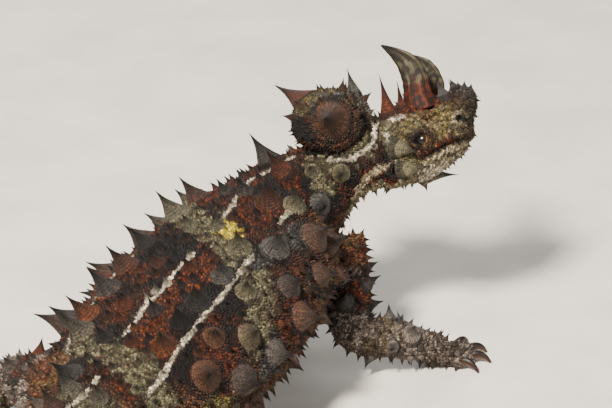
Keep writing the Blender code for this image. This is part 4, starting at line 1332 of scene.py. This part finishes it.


# %% [markdown]
# ## Finishes of the scales and thorns
# A scale is the colour of its marking, a little lighter or darker than its neighbours, with painted shade
# where it meets them and a painted highlight at its point. A thorn is streaked lengthwise, ringed on its
# mound, with painted shade at its foot and in its ring grooves, and runs to a dark, slightly glossy tip.

# %% The scales' finish
granule_finish, tree, shader = new_material("granules", 0.68, Specular_IOR_Level=0.2)
# Painted shade and highlight: each scale darkens towards its foot, where it meets its neighbours, and
# lightens towards its point.
shaded_foot_lit_point = ranged(tree, attribute(tree, "along", "Fac"), to_min=0.38, to_max=1.22)
own = ranged(tree, attribute(tree, "grain", "Fac"), to_min=0.5, to_max=1.35)
place = object_place(tree)
broken = grouped(tree, mottled, Colour=attribute(tree, "tint"), Place=place, Scale=2600.0, Strength=0.35)
lit = times(tree, broken["Colour"], maths(tree, "MULTIPLY", shaded_foot_lit_point, own))
ringed = grouped(tree, grooves, Distance=attribute(tree, "ring", "Fac"), Place=place, Period=0.95, Wander=1.4)
# Painted shade: the colour darkens to about a third in the ring grooves round each thorn.
tree.links.new(darkened(tree, lit, ringed["Height"], 0.3), shader.inputs["Base Color"])
bump(tree, shader, broken["Height"], 0.35, 0.00008)
print("scale finish:", granule_finish.name)

# %% The thorns' finish
thorn_finish, tree, shader = new_material("thorn_horn", 0.5, Specular_IOR_Level=0.28)
local_place = attribute(tree, "local", "Vector")
along = attribute(tree, "along", "Fac")
stretch = vector_maths(tree, "MULTIPLY", local_place, (6.0, 6.0, 2.2))
own_shift = maths(tree, "MULTIPLY", attribute(tree, "grain", "Fac"), 40.0)
moved = vector_maths(tree, "ADD", stretch, own_shift)
streaked = grouped(tree, mottled, Colour=attribute(tree, "tint"), Place=moved, Scale=2.6, Strength=1.0)
specks = grouped(
    tree, mottled, Colour=streaked["Colour"], Place=object_place(tree), Scale=1800.0, Strength=0.5
)
ringed = grouped(tree, grooves, Distance=along, Place=local_place, Period=0.075, Wander=0.04)
to_tip = ranged(tree, along, from_min=0.10, from_max=0.76, to_min=1.0, to_max=0.14)
# Painted shade: the foot of each thorn and spike, where it meets the skin, darkens to about a fifth.
rim = ranged(tree, along, from_min=0.0, from_max=0.09, to_min=0.22, to_max=1.0)
# Painted shade: the colour darkens in the grooves of the thorn's rings.
groove_shaded = darkened(tree, specks["Colour"], ringed["Height"], 0.55)
tipped = times(tree, groove_shaded, maths(tree, "MULTIPLY", to_tip, rim))
tree.links.new(tipped, shader.inputs["Base Color"])
tree.links.new(ranged(tree, along, to_min=0.72, to_max=0.38), shader.inputs["Roughness"])
normal = bump(tree, shader, ringed["Height"], 0.5, 0.0002)
normal = bump(tree, shader, specks["Height"], 0.5, 0.0002, normal)
bump(tree, shader, streaked["Height"], 0.7, 0.0004, normal)
print("thorn finish:", thorn_finish.name)

# %% [markdown]
# ## Setting the thorns
# Every thorn of the solids gets a finer one at its own place. Its colour is the marking's under its foot,
# but single thorns of the animal differ from their ground, so lists of tones name those, by their place
# on the body's chart or in the head's frame.

# %% Tones of single thorns
# Station, angle from the ridge and colour.
THORN_TONES = (
    (7.85, -42, SLATE), (6.85, -42, SLATE), (7.35, -36, SLATE), (6.6, -84, SLATE), (9.9, -87, SLATE),
    (11.1, -88, KHAKI), (10.4, -55, KHAKI), (9.83, -24, RUST * 0.9),
    (7.65, -66, BROWN), (7.25, -81, BROWN * 1.2), (5.85, -54, BROWN * 1.1), (7.3, -24, KHAKI),
    (7.1, -42, KHAKI), (7.7, -16, KHAKI), (6.95, 8, RUST), (6.1, 8, RUST), (4.9, 27, SOOT),
)
# The head's: place ahead of the eyes, out and up, and colour.
HEAD_TONES = (
    ((-4.6, 3.9, 7.0), RUST), ((5.4, 3.2, 6.2), SLATE * 1.2), ((-3.7, 6.9, 0.2), KHAKI * 1.05),
    ((-4.4, 5.8, -3.4), KHAKI * 1.1),
)
TONE_REACH, HEAD_TONE_REACH = 4.0, 1.5


def surface_tones(roots):
    """Each root's part, station, angle and colour: the marking's, or the one in the lists."""
    part, t, angle = survey(roots)
    tone = markings(roots, part, t, angle)
    places = chart(t, angle)
    for at, around, ink in THORN_TONES:
        gap = np.linalg.norm(places - chart([at], [around]), axis=1)
        tone[(gap < TONE_REACH) & (part == 2)] = ink
    local = head_local(roots)
    local[:, 1] = np.abs(local[:, 1])
    for at, ink in HEAD_TONES:
        tone[np.linalg.norm(local - np.array(at), axis=1) < HEAD_TONE_REACH] = ink
    return part, t, angle, tone


part, t, angle, tones = surface_tones(thorn_roots)
chance = np.random.default_rng(7)
red = step(tones[:, 0] / (tones[:, 2] + 0.01), 2.5, 4.0)
tones = mixed(tones, UMBER, red * (part == 2) * chance.uniform(0.2, 0.8, len(tones)))
tones = mixed(tones, SLATE * 0.95, (1 - red) * (part > 1) * chance.uniform(0.0, 0.5, len(tones)))
tones = mixed(tones, KHAKI * 0.85, step(tones.mean(1), 0.15, 0.22) * (part > 1))
on_flank = (part == 2) & (np.abs(angle) > 48) & (t < 9.5)
tones = mixed(tones, BROWN * 0.75, on_flank * chance.uniform(0.1, 0.8, len(tones)))
on_knob = part == 1
knob_side = (thorn_roots - KNOB_AT) @ knob_axes[1]
tones[on_knob] = BROWN * 0.65
tones[on_knob & (thorn_lengths < 6) & (thorn_lengths > 3.5)] = SLATE * 1.2
tones[on_knob & (thorn_lengths > 6) & (knob_side > 0)] = RUST * 0.8
print("mean thorn colour:", tones.mean(0).round(3))

# %% Set the thorns
SLIMMER, CHEEK_LENGTH = 0.8, 4.5
FRONT_FROM = 7.0


def points_carrier(name, roots, ways, sizes, tones, lies, chart_places):
    """A mesh of loose points that carries what the set-on-points tree reads."""
    mesh = bpy.data.meshes.new(name)
    mesh.from_pydata(model_metres(roots).tolist(), [], [])
    note(mesh, "way", ways)
    note(mesh, "size", sizes)
    note(mesh, "tint", opaque(tones))
    note(mesh, "lie", lies)
    note(mesh, "unwrap", chart_places)
    return mesh


on_cheek = (part == 0) & (np.abs(thorn_lengths - CHEEK_LENGTH) < 0.6)
on_neck_side = (part == 2) & (t > 10) & (np.abs(angle) > 50)
thorn_radii[on_cheek | on_neck_side] *= SLIMMER
sizes = np.stack([thorn_radii * 1.02, thorn_radii * 1.02, thorn_lengths], 1) * METRES
carried = (thorn_roots, thorn_ways, sizes, tones, lie_of(thorn_roots, part, t), unwrapped(part, t, angle))
front = t + 20 * (part != 2) > FRONT_FROM
pieces = []
for name, chosen in (("front_thorns", front), ("rear_thorns", ~front)):
    carrier = points_carrier(name, *(values[chosen] for values in carried))
    pieces.append(grown(
        name, carrier, set_on_points, Shape=thorn_shape, Material=thorn_finish, Size=1.0, Seed=3,
    ))

# %% [markdown]
# ## The coat
# Small scales cover everything but the mouth's line, the nostrils, the eyes and the thorns' feet, and a
# looser scatter of small spikes stands among them. Each region is a piece of its own, with its own
# spacing and width, because the scales of the face are finer than those of the tail.

# %% Cover the skin with scales and small spikes
# Region, spacing and width, in millimetres.
COATS = (
    ("head", 0.34, 0.38), ("knob", 0.38, 0.44), ("neck", 0.38, 0.44), ("chest", 0.42, 0.50),
    ("middle", 0.44, 0.52), ("hips", 0.44, 0.52), ("tail", 0.46, 0.54), ("forelegs", 0.40, 0.45),
    ("hind_legs", 0.44, 0.50),
)
SPIKES = (
    ("knob", 2.0, 0.55), ("neck", 2.1, 0.6), ("chest", 2.3, 0.75), ("middle", 2.5, 0.85), ("hips", 2.5, 0.85),
    ("tail", 2.2, 0.7), ("forelegs", 1.9, 0.65), ("hind_legs", 2.0, 0.65), ("head", 1.5, 0.34),
)
for kind, rows, shape, finish, height, clear, seed in (
    ("scales", COATS, scale_shape, granule_finish, 1.0, 0.82, 5),
    ("spikes", SPIKES, spike_shape, thorn_finish, 1.5, 1.25, 8),
):
    for name, spacing, size in rows:
        pieces.append(grown(
            f"{kind}_{name}", skin.data, cover, Shape=shape, Material=finish, Region=REGIONS.index(name),
            Spacing=spacing * METRES, Size=size * METRES, Height=height, Clear=clear, Seed=seed,
        ))

# %% [markdown]
# ## The horns over the eyes
# A horn is a spine with a bony core: a broad foot, a shaft that leans out and a hook that points back. It
# is a loft along a smooth curve. Its flutes and streaks run lengthwise, and its foot keeps the rust-red
# of the skin while its shaft is khaki and black.

# %% The horns' finish
horn_finish, tree, shader = new_material("great_horn", 0.7, Specular_IOR_Level=0.2)
place = attribute(tree, "local", "Vector")
stretch = vector_maths(tree, "MULTIPLY", place, (4.5, 4.5, 1.3))
streaked = grouped(tree, mottled, Colour=attribute(tree, "tint"), Place=stretch, Scale=2.6, Strength=0.85)
ringed = grouped(
    tree, grooves, Distance=attribute(tree, "along", "Fac"), Place=place, Period=0.045, Wander=0.01
)
# Painted shade: the streaked colour darkens slightly in the grooves of the horn's rings.
streaks_with_groove_shade = darkened(tree, streaked["Colour"], ringed["Height"], 0.93)
tree.links.new(streaks_with_groove_shade, shader.inputs["Base Color"])
normal = bump(tree, shader, ringed["Height"], 0.2, 0.0001)
bump(tree, shader, streaked["Height"], 0.6, 0.0003, normal)
print("horn finish:", horn_finish.name)

# %% Build the horns
# Place ahead of the eyes, out and up, and the half sizes along the head and across it.
HORN = (
    (1.2, 3.4, 5.4, 3.2, 2.5),
    (1.4, 3.7, 8.0, 2.6, 1.9),
    (2.1, 4.3, 10.8, 2.4, 1.5),
    (1.9, 5.0, 13.6, 2.0, 1.1),
    (0.7, 6.0, 16.0, 1.05, 0.7),
    (-0.8, 7.0, 18.0, 0.15, 0.15),
)
HORN_SIDES, HORN_ROWS = 32, 60
horn_angles = np.arange(HORN_SIDES) * 2 * math.pi / HORN_SIDES


def horn_ring(side, s):
    """The horn's corners at a share of its length, in millimetres of the layout."""
    a, at = horn_angles, (len(HORN) - 1) * s
    x, y, z, long_, wide = curve(HORN, at)[0]
    ahead = unit((curve(HORN, at + 0.05)[0] - curve(HORN, at)[0])[:3])
    tangent = head_way(ahead[0], ahead[1] * side, ahead[2])
    across = unit(head_axes[1] - tangent * (head_axes[1] @ tangent))
    first = np.cross(across, tangent)
    flute = 0.94 + 0.05 * np.cos(7 * a + 2.2 * s) + 0.03 * np.cos(13 * a - 3 * s)
    flute = flute + 0.015 * np.sin(47 * s + 2 * np.cos(a))
    out = first * (long_ * np.cos(a) * flute)[:, None] + across * (wide * np.sin(a) * flute)[:, None]
    return head_at(x, y * side, z) + out


def horn_ink(ring, s):
    """Rust-red broken by soot at the foot, then streaked khaki, then a black tip."""
    a = horn_angles
    streak = np.sin(7 * a + 2.2 * s) + 0.7 * np.sin(13 * a - 1.5 * s) + 0.5 * mottle(ring, 1.6, 62)
    base = mixed(RUST * 0.6, SOOT, step(mottle(ring, 1.0, 61) + 0.5 * streak, -0.6, 0.4) * 0.9)
    shaft = mixed(KHAKI * 0.6, SOOT, step(streak, -1.0, 0.0) * 0.93)
    ink = mixed(base, shaft, step(s + 0.05 * mottle(ring, 1.5, 63), 0.30, 0.46))
    return np.clip(mixed(ink, SOOT, step(np.full(HORN_SIDES, s), 0.66, 0.9)), 0, 1)


def horn(side, word):
    """A tapering loft that hooks back, streaked and lightly ringed."""
    bm = bmesh.new()
    layers = bm.verts.layers
    share, local = layers.float.new("along"), layers.float_vector.new("local")
    tint = layers.float_color.new("tint")
    loops = []
    for s in np.arange(HORN_ROWS) / HORN_ROWS:
        ring = horn_ring(side, s)
        row = [bm.verts.new(point) for point in model_metres(ring)]
        for vert, a, ink in zip(row, horn_angles, horn_ink(ring, s)):
            vert[share], vert[local], vert[tint] = s, (math.cos(a), math.sin(a), s), (*ink, 1)
        loops.append(row)
    tip = bm.verts.new(model_metres(head_at(HORN[-1][0], HORN[-1][1] * side, HORN[-1][2])))
    tip[share], tip[local], tip[tint] = 1, (0, 0, 1), (*SOOT, 1)
    join_rings(bm, loops, tip)
    bm.faces.new(loops[0][::-1])
    made = link(f"great_horn_{word}", bm)
    made.data.materials.append(horn_finish)
    made.data.shade_smooth()
    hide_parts(f"horn_{word}")
    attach(made, "root")
    return made


horns = [horn(1, "left"), horn(-1, "right")]
print("horns:", [len(made.data.vertices) for made in horns], "points")

# %% [markdown]
# ## The eyes
# The eye is a small ball deep between its lids. Its rings run from the pupil's middle to the back, and
# each notes how far along it lies, so that one colour ramp draws the pupil, the iris and the dark white.

# %% The eyes' finish
PUPIL_EDGE, IRIS_EDGE = 0.40, 0.46
eye_finish, tree, shader = new_material(
    "eyeball", 0.22, Specular_IOR_Level=0.3, Coat_Weight=0.1, Coat_Roughness=0.1
)
ramp = wire(tree, "ShaderNodeValToRGB", {"Fac": attribute(tree, "gaze", "Fac")})
pupil, iris = ramp.color_ramp.elements
pupil.position, pupil.color = PUPIL_EDGE, (0.006, 0.005, 0.005, 1)
iris.position, iris.color = IRIS_EDGE, (*paint_of(96, 60, 26), 1)
for at, ink in ((0.54, paint_of(70, 42, 22)), (0.62, paint_of(30, 20, 15)), (0.80, paint_of(20, 15, 14))):
    ramp.color_ramp.elements.new(at).color = (*ink, 1)
flecks = grouped(
    tree, mottled, Colour=ramp.outputs["Color"], Place=object_place(tree), Scale=3500.0, Strength=0.5
)
tree.links.new(flecks["Colour"], shader.inputs["Base Color"])
print("stops of the eye's ramp:", len(ramp.color_ramp.elements))

# %% Build the eyes
EYE_ROWS, EYE_SIDES = 26, 40


def eyeball(side, word):
    """A ball in its socket, whose gaze is noted as the share of the way from the pupil's middle."""
    out, ahead, up = head_axes[1] * side, head_axes[0], head_axes[2]
    middle = head_at(EYE_AT[0], EYE_AT[1] * side, EYE_AT[2])
    bm = bmesh.new()
    gaze = bm.verts.layers.float.new("gaze")
    loops = []
    for k in range(1, EYE_ROWS):
        a = math.pi * k / EYE_ROWS
        ring = circle(middle + out * math.cos(a) * EYE_RADIUS, ahead, up, math.sin(a) * EYE_RADIUS, EYE_SIDES)
        row = [bm.verts.new(point) for point in model_metres(ring)]
        for vert in row:
            vert[gaze] = min(k / EYE_ROWS * 2, 1)
        loops.append(row)
    front, back = (bm.verts.new(model_metres(middle + out * EYE_RADIUS * way)) for way in (1, -1))
    back[gaze] = 1
    join_rings(bm, loops)
    join_rings(bm, loops[:1], front)
    join_rings(bm, loops[-1:], back)
    made = link(f"eyeball_{word}", bm)
    made.data.materials.append(eye_finish)
    made.data.shade_smooth()
    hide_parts(f"eye_{word}")
    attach(made, "root")
    return made


eyes = [eyeball(1, "left"), eyeball(-1, "right")]
print("eyes:", [len(made.data.vertices) for made in eyes], "points")

# %% [markdown]
# ## The claws
# Each digit ends in a claw that arches over and meets the floor. Twenty of them are one piece: the same
# tapering ring, carried along an arc. A claw is orange below and nearly black along its back.

# %% The claws' finish
claw_finish, tree, shader = new_material("claw_horn", 0.45, Specular_IOR_Level=0.3)
place = attribute(tree, "local", "Vector")
upward = wire(tree, "ShaderNodeSeparateXYZ", {"Vector": place}).outputs["Y"]
belly_ink, back_ink = (*paint_of(96, 56, 28), 1), (*paint_of(30, 22, 18), 1)
claw_ink = blend(tree, ranged(tree, upward, from_min=-1.0, from_max=0.2), belly_ink, back_ink)
streaked = grouped(tree, mottled, Colour=claw_ink, Place=place, Scale=3.0)
tree.links.new(streaked["Colour"], shader.inputs["Base Color"])
bump(tree, shader, streaked["Height"], 0.3, 0.0001)
print("claw finish:", claw_finish.name)

# %% Build the claws
CLAW_BEND, CLAW_RADIUS = 2.8, 0.75
CLAW_START, CLAW_TURN = -0.35, 1.75
CLAW_SIDES, CLAW_ROWS = 12, 12


def claw_at(root, way, length, s):
    """The middle of a claw, which bends over and down from the end of its digit."""
    turned = CLAW_START + CLAW_TURN * s
    ahead = CLAW_BEND * (math.sin(turned) - math.sin(CLAW_START))
    rise = 0.35 + CLAW_BEND * (math.cos(turned) - math.cos(CLAW_START))
    place = root + way * (length + 0.9 + ahead) + UP * rise
    place[2] = max(place[2], LOWEST)
    return place


bm = bmesh.new()
local_layer = bm.verts.layers.float_vector.new("local")
for root, way, left, length in digit_rows():
    loops = []
    for s in np.arange(CLAW_ROWS) / CLAW_ROWS:
        radius = CLAW_RADIUS * 1.25 * (1 - s) ** 0.7
        ring = circle(claw_at(root, way, length, s), left * 0.8, UP * 0.9 + way * 0.4, radius, CLAW_SIDES)
        ring[:, 2] = np.maximum(ring[:, 2], LOWEST)
        row = [bm.verts.new(point) for point in model_metres(ring)]
        for j, vert in enumerate(row):
            a = 2 * math.pi * j / CLAW_SIDES
            vert[local_layer] = (math.cos(a), math.sin(a), s * 2)
        loops.append(row)
    tip = bm.verts.new(model_metres(claw_at(root, way, length, 1.0)))
    tip[local_layer] = (0, 0, 2)
    join_rings(bm, loops, tip)
    bm.faces.new(loops[0][::-1])
claws = link("claws", bm)
claws.data.materials.append(claw_finish)
claws.data.shade_smooth()
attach(claws, "root")
print("claws:", len(claws.data.vertices), "points")

# %% [markdown]
# ## What replaces what
# The skin stands for every node of flesh, and the thorns and scales ride on it. Nothing moves, so all
# the pieces ride on the root body. The unit shapes have done their work and are removed.

# %% Remove the unit shapes, hide the flesh's solids and attach the pieces
for helper in (thorn_shape, spike_shape, scale_shape):
    bpy.data.objects.remove(helper, do_unlink=True)
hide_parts(*FLESH)
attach(skin, "root")
for piece in pieces:
    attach(piece, "root")
everything = (skin, claws, *pieces, *horns, *eyes)
total = sum(len(face.vertices) - 2 for made in everything for face in made.data.polygons)
print("triangles in all:", total)

# %% The floor of the studio
FLOOR_HALF = 2.0
bm = bmesh.new()
bmesh.ops.create_grid(bm, x_segments=2, y_segments=2, size=FLOOR_HALF)
floor = link("floor", bm)
floor_finish, tree, shader = new_material("pale_floor", 0.9)
SAND = (0.62, 0.58, 0.52, 1)
grainy = grouped(tree, mottled, Place=object_place(tree), Colour=SAND, Scale=60.0, Strength=0.08)
tree.links.new(grainy["Colour"], shader.inputs["Base Color"])
floor.data.materials.append(floor_finish)
print("floor:", 2 * FLOOR_HALF, "metres wide")
